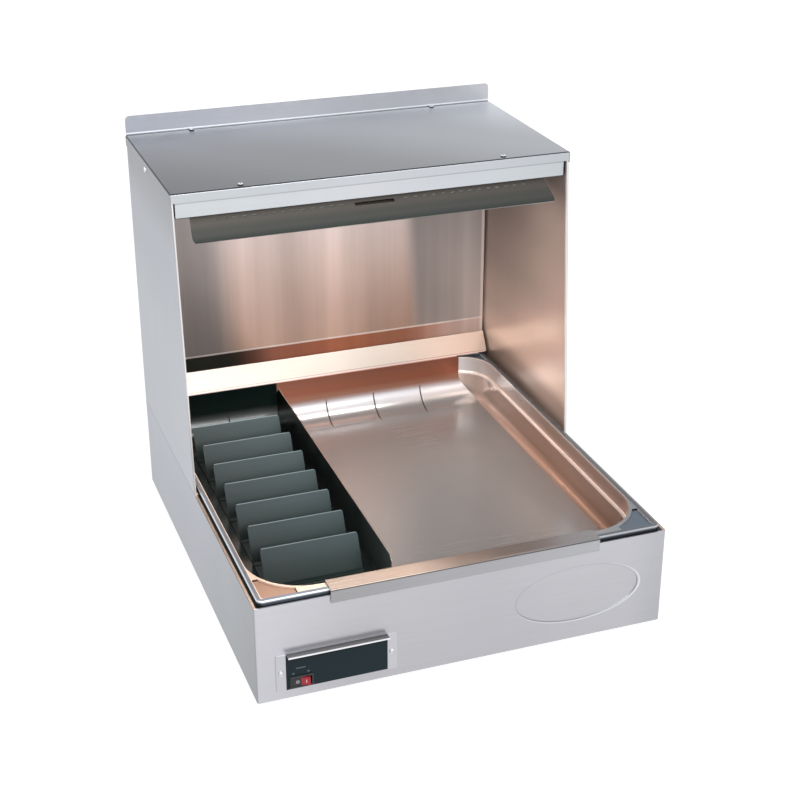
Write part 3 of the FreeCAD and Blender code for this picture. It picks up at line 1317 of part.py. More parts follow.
def terminal_screws():
    """Clamp screws in the strip's wells and the two screws that hold the strip."""
    y = BASE_BACK_IN - BLOCK_Y
    top = FLOOR_TOP + BLOCK_TALL
    solids = [rod((x, y, FLOOR_TOP + BLOCK_TALL / 2 + WIRE_R), (0, 0, 1), SCREW_R,
                  BLOCK_TALL / 2 - WIRE_R - BLOCK_SCREW_R) for x in block_ways()]
    solids += [rod((x, y, FLOOR_TOP - LINING), (0, 0, 1), SCREW_R, BLOCK_TALL + LINING)
               .fuse(rod((x, y, top), (0, 0, 1), BLOCK_HEAD_R, HEAD_H)).removeSplitter()
               for x in block_holes()]
    return solids


def ground_stud():
    """Earthing stud and its nut on the floor plate."""
    x, y = BLOCK_X + GROUND_STUD_OUT, BASE_BACK_IN - BLOCK_Y
    post = fuse(rod((x, y, FLOOR_TOP), (0, 0, 1), GROUND_STUD_R, GROUND_STUD_H),
                rod((x, y, FLOOR_TOP), (0, 0, 1), GROUND_STUD_R * 2, LINING))
    return [post, nut((x, y, FLOOR_TOP + LINING), GROUND_NUT_FLATS, NUT_H,
                      GROUND_STUD_R + ELEMENT_FIT)]


def base_wiring():
    """Leads along the base floor between the terminal strip, switch and heater."""
    back = BASE_BACK_IN - BLOCK_Y
    port = FLOOR_TOP + BLOCK_TALL / 2
    ways = block_ways()
    tab_y = LABEL_Y + SWITCH_DEEP + TAB_LONG
    low = FLOOR_TOP + WIRE_R * 2
    side = -WELL_HALF + THERMOSTAT_OUT
    leads = []
    for way, dx, lane in ((0, -TAB_SPREAD, 0), (1, TAB_SPREAD, 1)):
        x = side - lane * WIRE_LANE
        tab_z = SWITCH_MID_Z + TAB_WIDE / 2
        leads.append(tube([(ways[way], back - WIRE_END, port), (ways[way], back - WIRE_OUT, port),
                           (x, back - WIRE_DOWN, low), (x, WIRE_SWITCH_Y, low),
                           (SWITCH_MID_X + dx, WIRE_SWITCH_NEAR, tab_z),
                           (SWITCH_MID_X + dx, tab_y, tab_z)], WIRE_R, WIRE_BEND))
    drop = COVER_Z - FOIL - WIRE_R * 2
    for i, way in enumerate(ways[2:]):
        hot = WIRE_BLANKET_X - WELL_HALF + (i + 1) * WIRE_BLANKET_PITCH
        leads.append(tube([(way, back - WIRE_END, port), (way, back - WIRE_OUT, port),
                           (hot, back - WIRE_UP, port + BLOCK_TALL), (hot, back - WIRE_BLANKET, drop)],
                          WIRE_R, WIRE_BEND))
    return leads


NODES = {
    "base_housing": base_housing,
    "base_back_panel": base_back_panel,
    "base_bottom_plate": base_bottom_plate,
    "rubber_feet": feet,
    "foot_screws": foot_screws,
    "foot_nuts": foot_nuts,
    "bottom_plate_screws": bottom_plate_screws,
    "base_back_screws": base_back_screws,
    "well_liner": well_liner,
    "heater_blanket": heater_blanket,
    "blanket_backing_plate": blanket_backing_plate,
    "insulation_pad": insulation_pad,
    "insulation_cover": insulation_cover,
    "stud_nuts": stud_nuts,
    "thermostat": thermostat,
    "food_pan": food_pan,
    "serving_liner": serving_liner,
    "divider": divider,
    "rack_base": rack_base,
    "hood_side_left": lambda: hood_side(-1),
    "hood_side_right": lambda: hood_side(1),
    "hood_outer_back": hood_outer_back,
    "hood_inner_back": hood_inner_back,
    "hood_lid": hood_lid,
    "hood_fascia": hood_fascia,
    "ceiling_panel": ceiling_panel,
    "lid_screws": lid_screws,
    "hood_back_screws": hood_back_screws,
    "heater_housing": heater_housing,
    "heater_end_caps": heater_end_caps,
    "heater_reflector": heater_reflector,
    "heater_shade": heater_shade,
    "heating_element": heating_element,
    "element_bushes": element_bushes,
    "element_hangers": element_hangers,
    "element_terminals": element_terminals,
    "heater_screws": heater_screws,
    "lead_grommets": lead_grommets,
    "heater_leads": heater_leads,
    "control_plate": control_plate,
    "control_label": control_label,
    "control_plate_screws": control_plate_screws,
    "switch_body": switch_body,
    "rocker": rocker,
    "switch_terminals": switch_terminals,
    "cord_gland": cord_gland,
    "gland_nut": gland_nut,
    "terminal_block": terminal_block,
    "terminal_screws": terminal_screws,
    "ground_stud": ground_stud,
    "base_wiring": base_wiring,
}
for number in range(1, RACK_COUNT + 1):
    NODES["rack_plate_%d" % number] = lambda number=number: rack_plate(number)

MIDDLE_Y = (DEPTH + GLAND_OUT - VISOR_REACH) / 2

for name, make in NODES.items():
    shape = make()
    solids = shape if isinstance(shape, list) else shape.Solids
    whole = solids[0] if len(solids) == 1 else Part.makeCompound(solids)
    whole.translate(V(0, -MIDDLE_Y, 0))
    whole.exportStep("parts/%s.step" % name)
    box = whole.BoundBox
    print("%-24s solids %d valid %s volume %.0f  x %.1f %.1f  y %.1f %.1f  z %.1f %.1f" % (
        name, len(solids), whole.isValid(), whole.Volume, box.XMin, box.XMax,
        box.YMin + MIDDLE_Y, box.YMax + MIDDLE_Y, box.ZMin, box.ZMax))
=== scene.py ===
# %% [markdown]
# A countertop chip warmer, dressed for its portrait
#
# The warmer is folded stainless sheet: a low heated base with a lift-out pan, an open-fronted
# hood on the back half, and a radiant heater under the hood's lid. The engineering model already
# holds every sheet at its true size, so this lesson is about finishes: what makes one grey
# surface read as brushed shell, the next as a bright drawn pan, and the next as printed film.

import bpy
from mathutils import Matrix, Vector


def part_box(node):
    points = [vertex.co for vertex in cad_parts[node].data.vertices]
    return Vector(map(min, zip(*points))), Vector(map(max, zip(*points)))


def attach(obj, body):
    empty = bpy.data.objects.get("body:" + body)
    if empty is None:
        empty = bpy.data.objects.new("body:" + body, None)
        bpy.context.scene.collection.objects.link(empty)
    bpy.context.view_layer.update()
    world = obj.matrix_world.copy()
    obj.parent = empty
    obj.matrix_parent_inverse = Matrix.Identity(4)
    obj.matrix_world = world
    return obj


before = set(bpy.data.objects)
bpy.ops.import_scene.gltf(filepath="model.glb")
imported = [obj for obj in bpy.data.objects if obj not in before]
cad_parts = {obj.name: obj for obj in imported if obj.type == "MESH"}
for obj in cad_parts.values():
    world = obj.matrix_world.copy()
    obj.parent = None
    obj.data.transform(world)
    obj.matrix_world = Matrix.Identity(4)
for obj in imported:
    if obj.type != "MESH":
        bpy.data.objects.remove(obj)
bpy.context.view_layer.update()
print("nodes", len(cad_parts))

# %% Tools used throughout
import math
import bmesh
import bpy
from mathutils import Vector

MM = 0.001
WHITE = (1, 1, 1, 1)
BLACK = (0, 0, 0, 1)
scene = bpy.context.scene

# %% [markdown]
# The places that the finishes need
#
# A finish that changes from one end of a sheet to the other has to know where the sheet is. The
# frame gives the lowest and highest corner of every piece, so no place is typed twice. Heights
# on the hood's sheets are given as shares of the hood's opening.

# %% Where the sheets are
base_low, base_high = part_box("base_housing")
lid_low, lid_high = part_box("hood_lid")
wall_low, wall_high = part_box("hood_inner_back")
shade_low, shade_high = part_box("heater_shade")
pan_low, pan_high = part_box("food_pan")
liner_low, liner_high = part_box("serving_liner")
divider_low, divider_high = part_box("divider")
rocker_low, rocker_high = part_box("rocker")
plate_low, plate_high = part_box("rack_plate_1")
housing_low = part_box("heater_housing")[0]
FASCIA_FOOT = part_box("hood_fascia")[0][2]
CONTROL_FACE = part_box("control_plate")[0][1]
DIVIDER_X = (divider_low[0] + divider_high[0]) / 2
HALF = base_high[0]
FRONT = base_low[1]
BACK = base_high[1]
BASE_TOP = base_high[2]
LID_EDGE = lid_low[2]
LID_TOP = lid_high[2]
print("half width", round(HALF / MM, 1), "mm, depth", round((BACK - FRONT) / MM, 1), "mm")


def opening(share):
    """A height in the hood's opening: 0 is the base's top, and 1 the lid's lower edge."""
    return BASE_TOP + share * (LID_EDGE - BASE_TOP)


# %% [markdown]
# Shader maths as plain expressions
#
# A node tree is quick to read as arithmetic and slow to read as links. This small class wraps a
# number socket, so that 1 - mask * 0.5 lays its own Math nodes.


# %% A socket that does arithmetic
class Number:
    """A number on its way through a node tree. Each operator lays one Math node."""

    def __init__(self, nodes, socket):
        self.nodes = nodes
        self.socket = socket

    def lay(self, operation, first, second=0.0):
        made = self.nodes.node("ShaderNodeMath", {"operation": operation}, {0: first, 1: second})
        return Number(self.nodes, made.outputs[0])

    def __add__(self, other):
        return self.lay("ADD", self, other)

    def __mul__(self, other):
        return self.lay("MULTIPLY", self, other)

    def __sub__(self, other):
        return self.lay("SUBTRACT", self, other)

    def __rsub__(self, other):
        return self.lay("SUBTRACT", other, self)

    def __abs__(self):
        return self.lay("ABSOLUTE", self)

    def least(self, other):
        return self.lay("MINIMUM", self, other)

    def most(self, other):
        return self.lay("MAXIMUM", self, other)

    __radd__ = __add__
    __rmul__ = __mul__


# %% A tree of nodes
class Nodes:
    """The nodes of a material or of the world, all laid by one method."""

    def __init__(self, tree):
        self.tree = tree

    def node(self, kind, settings=None, values=None):
        """Add a node: its settings first, then the value or link of each socket."""
        made = self.tree.nodes.new(kind)
        for key, value in (settings or {}).items():
            if key == "stops":
                self.lay_stops(made.color_ramp, value)
            else:
                setattr(made, key, value)
        for key, value in (values or {}).items():
            self.feed(made.inputs[key], value)
        return made

    def lay_stops(self, ramp, stops):
        """Give a colour ramp its stops. A new ramp has two, and the rest are added."""
        ramp.interpolation = "EASE"
        while len(ramp.elements) < len(stops):
            ramp.elements.new(1.0)
        for element, (share, colour) in zip(ramp.elements, stops):
            element.position = share
            element.color = colour

    def feed(self, socket, value):
        if isinstance(value, Number):
            value = value.socket
        if isinstance(value, bpy.types.NodeSocket):
            self.tree.links.new(value, socket)
        else:
            socket.default_value = value

    def watched(self):
        """1 for what is seen, directly, in a reflection or through glass, and 0 for light."""
        ray = self.node("ShaderNodeLightPath").outputs
        camera = Number(self, ray["Is Camera Ray"])
        return camera.most(ray["Is Glossy Ray"]).most(ray["Is Transmission Ray"])


# %% [markdown]
# One finish, and the few nodes that these finishes need
#
# Every material here is one Principled shader with numbers and colours fed into it. The class
# below makes the shader and offers the few patterns that steel needs: noise for the grain, soft
# steps and thin lines for the bends, and bands of colour for what the steel reflects.

# %% One finish
EDGE_SOFT = 0.2 * MM


class Finish(Nodes):
    """A material built round one Principled shader."""

    def __init__(self, name, **constants):
        self.material = bpy.data.materials.new(name)
        self.material.use_nodes = True
        super().__init__(self.material.node_tree)
        self.shader = self.tree.nodes["Principled BSDF"]
        self.give(**constants)

    def give(self, **values):
        """Feed the shader's own sockets."""
        for key, value in values.items():
            self.feed(self.shader.inputs[key.replace("_", " ")], value)
        return self.material

    def place(self, scale=(1, 1, 1), shift=(0, 0, 0)):
        """Where a point is on the object, in metres, stretched and shifted."""
        coordinates = self.node("ShaderNodeTexCoord")
        mapping = self.node("ShaderNodeMapping", {}, {"Vector": coordinates.outputs["Object"],
                                                      "Scale": scale, "Location": shift})
        return mapping.outputs[0]

    def axes(self):
        """The three coordinates of a point, in metres."""
        split = self.node("ShaderNodeSeparateXYZ", {}, {0: self.place()})
        return [Number(self, split.outputs[i]) for i in range(3)]

    def noise(self, scale, detail=2.0, rough=0.5, seed=(0, 0, 0)):
        made = self.node("ShaderNodeTexNoise", {}, {"Vector": self.place(scale, seed), "Scale": 1.0,
                                                    "Detail": detail, "Roughness": rough})
        return Number(self, made.outputs["Fac"])

    def swing(self, noise, reach):
        """A noise moved to lie round zero, as far as a reach to either side."""
        return (noise - 0.5) * (2 * reach)

    def share(self, value, low, high):
        """How far a number is from low to high, from 0 to 1."""
        made = self.node("ShaderNodeMapRange", {}, {0: value, 1: low, 2: high})
        return Number(self, made.outputs[0])

    def past(self, value, edge, soft=EDGE_SOFT):
        """1 where a number is past an edge and 0 before it."""
        made = self.node("ShaderNodeMapRange", {"interpolation_type": "SMOOTHSTEP"},
                         {0: value, 1: edge - soft, 2: edge + soft})
        return Number(self, made.outputs[0])

    def before(self, value, edge, soft=EDGE_SOFT):
        """1 where a number is before an edge and 0 past it."""
        return 1 - self.past(value, edge, soft)

    def line(self, value, centre, half):
        """1 on a thin line where a number is near a centre, and 0 beside it."""
        return self.before(abs(value - centre), half, half / 2)

    def mix(self, factor, first, second):
        """A colour between two others."""
        made = self.node("ShaderNodeMix", {"data_type": "RGBA"}, {0: factor, 6: first, 7: second})
        return made.outputs[2]

    def bands(self, value, *stops):
        """A colour that changes softly along a number. Each stop is a place and a colour."""
        first, last = stops[0][0], stops[-1][0]
        shares = [((place - first) / (last - first), colour) for place, colour in stops]
        made = self.node("ShaderNodeValToRGB", {"stops": shares},
                         {0: self.share(value, first, last)})
        return made.outputs[0]

    def levels(self, value, *stops):
        """A number that changes softly along another. Each stop is a place and a level."""
        greys = [(place, (level, level, level, 1.0)) for place, level in stops]
        return Number(self, self.bands(value, *greys))

    def dim(self, colour, factor):
        """A colour made lighter or darker by a number."""
        if isinstance(colour, tuple):
            colour = colour[:3]
        made = self.node("ShaderNodeVectorMath", {"operation": "SCALE"},
                         {0: colour, "Scale": factor})
        return made.outputs[0]

    def bump(self, height, depth):
        """A surface raised by height times a depth in metres."""
        made = self.node("ShaderNodeBump", {}, {"Height": height, "Distance": depth})
        return made.outputs[0]


def paint(red, green, blue):
    """A colour picked as 0 to 255 values, as light, which is what a shader works in."""
    def light(value):
        share = value / 255
        return share / 12.92 if share <= 0.04045 else ((share + 0.055) / 1.055) ** 2.4
    return light(red), light(green), light(blue), 1.0


print("200 grey is", round(paint(200, 200, 200)[0], 3), "as light")

# %% [markdown]
# Brushed steel
#
# Rolled and brushed stainless has hair-fine scratches along one direction. Seen from a step away
# they blur into faint streaks and a soft highlight that spreads across them; close up they are
# real grooves. A noise stretched along the grain does both jobs: at one width it varies the
# colour, and at a finer width it varies the roughness and feeds a bump. A slow, unstretched
# noise on top gives the handling marks that keep a large panel from looking printed.
#
# Steel has hardly a colour of its own. What a sheet shows is the room, smeared along its grain,
# so each big sheet also gets a look: a function that paints the soft bands of the room into its
# colour, as painted reflection, and the bright or dark bend lines, as painted highlight and
# painted shade. The sheets that face the room are nearly all metal.
# Those inside the hood are half metal, so that the lamps light them too.

# %% The brushed finish
STREAK = 260.0
SCRATCH = 1700.0
COLUMN = 45.0
ALONG = 5.0
ALONG_COLUMN = 1.5
CLOUD = 9.0
CLOUD_GLINT = 0.04
OUTER_METAL = 0.9
INNER_METAL = 0.5


def grain_scale(grain, across, along=ALONG):
    """The noise scale on each axis for a grain that runs along one of them."""
    return [along if letter == grain else across for letter in "xyz"]


def brushed(name, look, grain="x", rough=0.34, streaks=0.05, patches=0.03, columns=0.0,
            depth=0.01 * MM, glint=0.05, metal=OUTER_METAL):
    """Brushed sheet whose grain runs along one axis. A look is a colour or a function."""
    finish = Finish(name)
    finish.give(Metallic=metal if isinstance(metal, float) else metal(finish))
    streak = finish.noise(grain_scale(grain, STREAK), detail=3.0, rough=0.6)
    scratch = finish.noise(grain_scale(grain, SCRATCH), seed=(3, 1, 2))
    cloud = finish.noise((CLOUD, CLOUD, CLOUD), seed=(7, 5, 1))
    tone = 1 + finish.swing(streak, streaks) + finish.swing(cloud, patches)
    # Wide columns of tone along the grain: on the back wall they are painted reflection streaks.
    if columns:
        column = finish.noise(grain_scale(grain, COLUMN, ALONG_COLUMN), detail=1.0, seed=(5, 2, 8))
        tone = tone + finish.swing(column, columns)
    colour = look if isinstance(look, tuple) else look(finish)
    dull = rough + finish.swing(scratch, glint) + finish.swing(cloud, CLOUD_GLINT)
    return finish.give(Base_Color=finish.dim(colour, tone), Roughness=dull,
                       Normal=finish.bump(scratch, depth))


dressed = {}


def dress(material, *nodes):
    """Give some pieces of the model a finish in place of their plain one."""
    for name in nodes:
        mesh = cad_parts[name].data
        mesh.materials.clear()
        mesh.materials.append(material)
        dressed[name] = material.name
    print(material.name, "on", len(nodes), "pieces")


# %% [markdown]
# The base shell
#
# The front panel faces the light and stays even, with a painted reflection that makes it a touch
# warmer and darker towards its right end. The left side is painted with the reflection of a darker
# part of the room and fades towards the front, and both faces are painted darker towards the
# bottom, as shade. Where the hood stands on the base a joint shows as a dark line, and so do the
# two front corners. The ledge round the pan is painted tan beside the pan, as a reflection, and
# dark behind it, as shade. The blank oval on the front is a shallow pressing, which shows only by
# a slightly darker field, painted shade on its upper rim and a painted highlight on its lower one.
#
# An image painted for the panel would hold all this too. Bands along the sheet's own length were
# chosen, because they stay sharp at any size and move with the sizes of the sheet.

# %% Base shell
FACE = 0.5 * MM
JOINT = 1.2 * MM
JOINT_INK = 0.75
CORNER_INK = 0.65
FRONT_FADE = 0.06
SIDE_FADE = 0.08
LEDGE_SKIN = 0.2 * MM
LEDGE_INSET = 2.0 * MM
PAN_GAP = 2.4 * MM
OVAL_X = HALF - 122 * MM
OVAL_Z = 72.7 * MM
OVAL_LONG = 171 * MM
OVAL_TALL = 79 * MM
OVAL_SOFT = 0.02
OVAL_DIM = 0.05
# Painted shade on the oval's upper rim and a painted highlight on its lower one.
SHADED_RIM = (0.98, 0.035)
SHADED_SLOPE = (-1.2, 0.4)
OVAL_PAINTED_SHADE = 0.55
LIT_RIM = (1.07, 0.03)
LIT_SLOPE = (0.6, -1.2)
OVAL_PAINTED_HIGHLIGHT = 0.6


def press_oval(finish, shell, x, y, z):
    """The blank oval pressed into the front, right of the middle, with painted shade and highlight on
    its rim.
    """
    across = (x - OVAL_X) * (2 / OVAL_LONG)
    upward = (z - OVAL_Z) * (2 / OVAL_TALL)
    ring = across * across + upward * upward
    slope = upward - across
    on_front = finish.before(y, FRONT + FACE)
    field = finish.before(ring, 1.0, OVAL_SOFT) * on_front
    # Painted shade on the upper rim, and a painted highlight on the lower one.
    shaded = finish.line(ring, *SHADED_RIM) * finish.share(slope, *SHADED_SLOPE) * on_front
    lit = finish.line(ring, *LIT_RIM) * finish.share(slope, *LIT_SLOPE) * on_front
    shell = finish.dim(shell, 1 - field * OVAL_DIM)
    shell = finish.mix(shaded * OVAL_PAINTED_SHADE, shell, paint(104, 106, 112))
    return finish.mix(lit * OVAL_PAINTED_HIGHLIGHT, shell, paint(238, 239, 243))


def base_look(finish):
    x, y, z = finish.axes()
    # Painted reflection: the front and the left side carry the room's soft bands in their colour.
    front = finish.bands(x, (-HALF, paint(195, 195, 201)), (-HALF / 2, paint(183, 183, 187)),
                         (0.0, paint(181, 181, 186)), (HALF * 0.8, paint(186, 186, 191)),
                         (HALF, paint(178, 179, 184)))
    side = finish.bands(y, (FRONT, paint(148, 151, 156)), (FRONT / 2, paint(160, 164, 170)),
                        (0.0, paint(169, 172, 181)), (BACK, paint(169, 173, 182)))
    on_side = finish.past(abs(x), HALF - FACE)
    # Painted shade towards the bottom, stronger on the side.
    lower = finish.share(z, BASE_TOP, base_low[2])
    shell = finish.mix(on_side, front, side)
    shell = finish.dim(shell, 1 - lower * (FRONT_FADE + on_side * SIDE_FADE))
    # Painted reflection on the ledge beside the pan, and painted shade behind it.
    inside_edges = (1 - on_side) * finish.past(y, FRONT + LEDGE_INSET)
    ledge = finish.past(z, BASE_TOP - LEDGE_SKIN, LEDGE_SKIN / 2) * inside_edges
    beside_pan = finish.past(abs(x), pan_high[0] + PAN_GAP)
    shell = finish.mix(ledge, shell, finish.mix(beside_pan, paint(44, 44, 44), paint(186, 164, 148)))
    shell = press_oval(finish, shell, x, y, z)
    corner = finish.line(y, FRONT + FACE, FACE) * finish.past(abs(x), HALF - 2 * FACE)
    joint = finish.past(z, BASE_TOP - JOINT) * on_side
    return finish.mix(corner * CORNER_INK + joint * JOINT_INK, shell, paint(70, 74, 78))


dress(brushed("shell_steel", base_look, rough=0.36, streaks=0.045), "base_housing")
dress(brushed("plain_steel", paint(188, 190, 195), rough=0.4),
      "base_back_panel", "base_bottom_plate", "well_liner")

# %% [markdown]
# The hood's outside
#
# The lid lies flat, and its top is painted with the reflection of the dark upper part of the
# room, darkest at its left front corner and lighter to the right and the back. Its turned-down
# front edge and the fascia under it are painted as the brightest sheets of all, as the light
# falls on them, with a faint bend line between them; the side flanges are painted darker, as
# shade. A bend is a thin band at the height where the sheet turns, painted as shade on the lid
# and as a highlight on the splash, which needs no narrow faces of its own. The fascia's foot has
# a dark line of painted shade for the gap under it.

# %% Lid, fascia and splash
# How strongly a line covers the sheet: printed marks, and painted shade and highlight lines.
PRINT_AND_PAINTED_LIGHT = 0.85
BEND_DROP = 1.2 * MM
BEND_WIDE = 1.8 * MM
LID_SLANT = 0.65
FASCIA_GAP = 1.3 * MM
FASCIA_JOINT = 1.0 * MM
FASCIA_JOINT_INK = 0.3
SPLASH_BEND = 2.4 * MM
SPLASH_BEND_HALF = 0.8 * MM


def lid_look(finish):
    x, y, z = finish.axes()
    slant = finish.share(x, -HALF, HALF) * LID_SLANT
    slant = slant + finish.share(y, lid_low[1], lid_high[1]) * (1 - LID_SLANT)
    # Painted reflection of the room on the lid's top.
    top = finish.bands(slant, (0.0, paint(114, 115, 119)), (0.35, paint(138, 140, 145)),
                       (0.7, paint(170, 173, 179)), (1.0, paint(206, 210, 218)))
    # Painted light: the front flange bright, the side flanges darker.
    edge = finish.bands(x, (-HALF, paint(186, 190, 194)), (HALF / 2, paint(188, 191, 196)),
                        (HALF, paint(182, 186, 191)))
    flange = finish.mix(finish.past(abs(x), HALF), edge, paint(146, 149, 155))
    on_top = finish.past(z, LID_TOP - BEND_DROP)
    sheet = finish.mix(on_top, flange, top)
    # Painted shade: dark lines where the top bends down and along the back.
    border = finish.past(abs(x), lid_high[0] - BEND_WIDE) + finish.before(y, lid_low[1] + BEND_WIDE)
    back = finish.past(y, lid_high[1] - BEND_WIDE)
    return finish.mix((border * on_top + back) * PRINT_AND_PAINTED_LIGHT, sheet, paint(36, 38, 42))


def fascia_look(finish):
    x, _, z = finish.axes()
    sheet = finish.bands(x, (-HALF, paint(194, 199, 202)), (0.0, paint(198, 200, 205)),
                         (HALF / 2, paint(195, 199, 204)), (HALF, paint(188, 193, 197)))
    # Painted shade in the gap under the fascia; the joint with the lid is a faint dark line.
    gap = finish.before(z, FASCIA_FOOT + FASCIA_GAP)
    joint = finish.past(z, LID_EDGE - FASCIA_JOINT)
    return finish.mix(gap * PRINT_AND_PAINTED_LIGHT + joint * FASCIA_JOINT_INK, sheet, paint(30, 32, 34))


def splash_look(finish):
    x, _, z = finish.axes()
    # Painted reflection across the splash, with a painted highlight along its bend.
    splash = finish.bands(x, (-HALF, paint(164, 167, 176)), (0.0, paint(176, 177, 183)),
                          (HALF, paint(186, 187, 192)))
    bend = finish.line(z, LID_TOP + SPLASH_BEND, SPLASH_BEND_HALF)
    bright = finish.mix(bend, splash, paint(244, 246, 250))
    return finish.mix(finish.past(z, LID_TOP), paint(186, 189, 195), bright)


dress(brushed("lid_steel", lid_look, rough=0.38, streaks=0.025), "hood_lid")
dress(brushed("fascia_steel", fascia_look, rough=0.36), "hood_fascia")
dress(brushed("back_steel", splash_look, rough=0.36), "hood_outer_back")

# %% [markdown]
# The hood's sides
#
# Outside, the sides are a cool blue-grey, painted darker upwards and lighter towards the front,
# as reflection. Inside, they carry a painted reflection of the heater, the lid's dark underside
# and the warm pan: brown-grey at the top, peach low down, and grey again where they meet the pan.
# They are painted brighter towards the front, and darker towards the lid, as shade. The hem along
# the front edge has a painted highlight. One material serves both faces: how far a point is from
# the middle tells which face it is on.

# %% Hood sides
OUTSIDE_BACK = 0.93
OUTSIDE_LIFT = 0.08
INSIDE_BACK = 0.92
INSIDE_LIFT = 0.95
INSIDE_FALL = 0.42
INSIDE_MOST = 1.5
HEM_LEAN = 35 * MM
HEM_EDGE = -4.5 * MM
HEM_SOFT = 1.0 * MM


def side_look(finish):
    x, y, z = finish.axes()
    forward = finish.share(y, BACK, 0.0)
    # Painted reflection on the outer face: darker upwards, lighter towards the front.
    outside = finish.bands(z, (BASE_TOP, paint(172, 176, 184)),
                           (opening(0.405), paint(173, 177, 185)),
                           (opening(0.786), paint(163, 167, 176)), (LID_EDGE, paint(140, 143, 149)))
    outside = finish.dim(outside, OUTSIDE_BACK + forward * OUTSIDE_LIFT)
    # Painted reflection on the inner face, warm from the heater and the pan.
    inside = finish.bands(z, (BASE_TOP, paint(122, 108, 100)), (opening(0.075), paint(158, 138, 127)),
                          (opening(0.151), paint(212, 190, 177)),
                          (opening(0.278), paint(192, 170, 160)),
                          (opening(0.481), paint(164, 146, 138)),
                          (opening(0.71), paint(144, 129, 122)), (LID_EDGE, paint(126, 115, 110)))
    # Painted shade towards the lid and the back, lighter towards the front.
    high = finish.share(z, opening(0.278), opening(0.913))
    level = INSIDE_BACK + forward * forward * INSIDE_LIFT - high * INSIDE_FALL
    inside = finish.dim(inside, level.least(INSIDE_MOST))
    # Painted highlight along the front hem.
    behind_edge = y - finish.share(z, BASE_TOP, LID_EDGE) * HEM_LEAN
    hem = finish.before(behind_edge, HEM_EDGE, HEM_SOFT)
    inside = finish.mix(hem * PRINT_AND_PAINTED_LIGHT, inside, paint(236, 233, 232))
    return finish.mix(finish.past(abs(x), HALF - FACE), inside, outside)


def side_metal(finish):
    """Nearly all metal on the outer face, and half metal on the inner one."""
    x = finish.axes()[0]
    return INNER_METAL + finish.past(abs(x), HALF - FACE) * (OUTER_METAL - INNER_METAL)


dress(brushed("hood_steel", side_look, "z", rough=0.33, streaks=0.04, patches=0.05,
              metal=side_metal),
      "hood_side_left", "hood_side_right")

# %% [markdown]
# The back wall of the hood
#
# This sheet's grain runs upright, so whatever it reflects is drawn out into upright bands, painted
# into its colour as reflection: dim at the far left, bright, dimmer, bright again, and then, past
# a fairly sharp edge, dim to the right end. One level along the sheet draws them. The tone is a
# second matter, painted as warm reflected light: nearly white at the top, warming to copper lower
# down, and cooler in both dim bands. Behind the heater the wall is painted dark, as shade. A
# painted highlight marks the hem that ends it and the wall's right edge, and the strip below the
# hem is painted dark at the left, as shade, and copper to the right, as reflection.

# %% Hood back wall
WALL_LEAN = 0.05
WALL_RIGHT = 0.55
WALL_RIGHT_SOFT = 0.044
WALL_LEFT = -0.55
WALL_LEFT_SOFT = 0.092
COOL = 0.75
LOW_FALL = 0.27
RIGHT_LIFT = 0.62
LEAN_FROM = opening(0.405)
# Where the painted shade behind the heater begins, and how softly.
PAINTED_SHADE_FROM = opening(0.857)
PAINTED_SHADE_SOFT = 4 * MM
HEM_RISE = 18.0 * MM
HEM_HALF = 1.3 * MM
# Strength of the painted highlight on the hems.
HEM_HIGHLIGHT = 0.7
RIGHT_HEM = 2.0 * MM
RIGHT_HEM_HALF = 2.6 * MM


def back_wall_look(finish):
    x, _, z = finish.axes()
    across = x * (1 / HALF)
    sway = (x + (z - LEAN_FROM) * WALL_LEAN) * (1 / HALF)
    # Painted reflection: upright bands of the room, as one level along the sheet.
    glow = finish.levels(sway, (-0.98, 0.42), (-0.645, 0.31), (-0.421, 0.73), (-0.147, 0.58),
                         (0.055, 0.74), (0.33, 0.55), (0.491, 0.56), (0.593, 0.21), (0.98, 0.38))
    low = finish.share(z, opening(0.786), opening(0.151))
    right = finish.past(sway, WALL_RIGHT, WALL_RIGHT_SOFT)
    left = finish.before(sway, WALL_LEFT, WALL_LEFT_SOFT)
    # Painted warm reflected light, cooler in the dim bands.
    tone = finish.mix(low, paint(252, 243, 246), paint(255, 215, 194))
    tone = finish.mix((right + left) * COOL, tone, paint(255, 251, 252))
    wall = finish.dim(tone, glow * (1 - low * (LOW_FALL - right * RIGHT_LIFT)))
    # Painted shade behind the heater.
    wall = finish.mix(finish.past(z, PAINTED_SHADE_FROM, PAINTED_SHADE_SOFT), wall, paint(40, 34, 30))
    # Painted shade at the left of the strip below the hem, and painted copper reflection to the right.
    strip = finish.bands(across, (-0.98, paint(36, 42, 38)), (-0.549, paint(46, 46, 42)),
                         (-0.183, paint(144, 88, 68)), (0.11, paint(162, 98, 72)),
                         (0.476, paint(154, 102, 80)), (0.98, paint(212, 190, 182)))
    hem_z = wall_low[2] + HEM_RISE
    sheet = finish.mix(finish.past(z, hem_z), strip, wall)
    # Painted highlight on the hem and on the right edge.
    hems = finish.line(z, hem_z, HEM_HALF) + finish.line(x, wall_high[0] - RIGHT_HEM, RIGHT_HEM_HALF)
    return finish.mix(hems * HEM_HIGHLIGHT, sheet, paint(236, 226, 222))


wall_steel = brushed("wall_steel", back_wall_look, "z", rough=0.3, streaks=0.06, patches=0.06,
                     columns=0.22, metal=INNER_METAL)
dress(wall_steel, "hood_inner_back")

# %% [markdown]
# The heater's shade
#
# The shade hangs in the hood's shadow, which is painted into its colour: a warm grey near the lid,
# sinking to a dark green-grey below, and darker towards its right end. Its lower edge has a thin
# painted highlight, strongest to the right. The sheet bends round one axis only, so its bands run
# by height alone.

# %% Heater shade
SHADE_METAL = 0.4
SHADE_DARKER = 0.3
# The painted highlight along the lower edge: its height and its strength.
SHADE_RIM = 0.9 * MM
SHADE_EDGE_HIGHLIGHT = 0.7


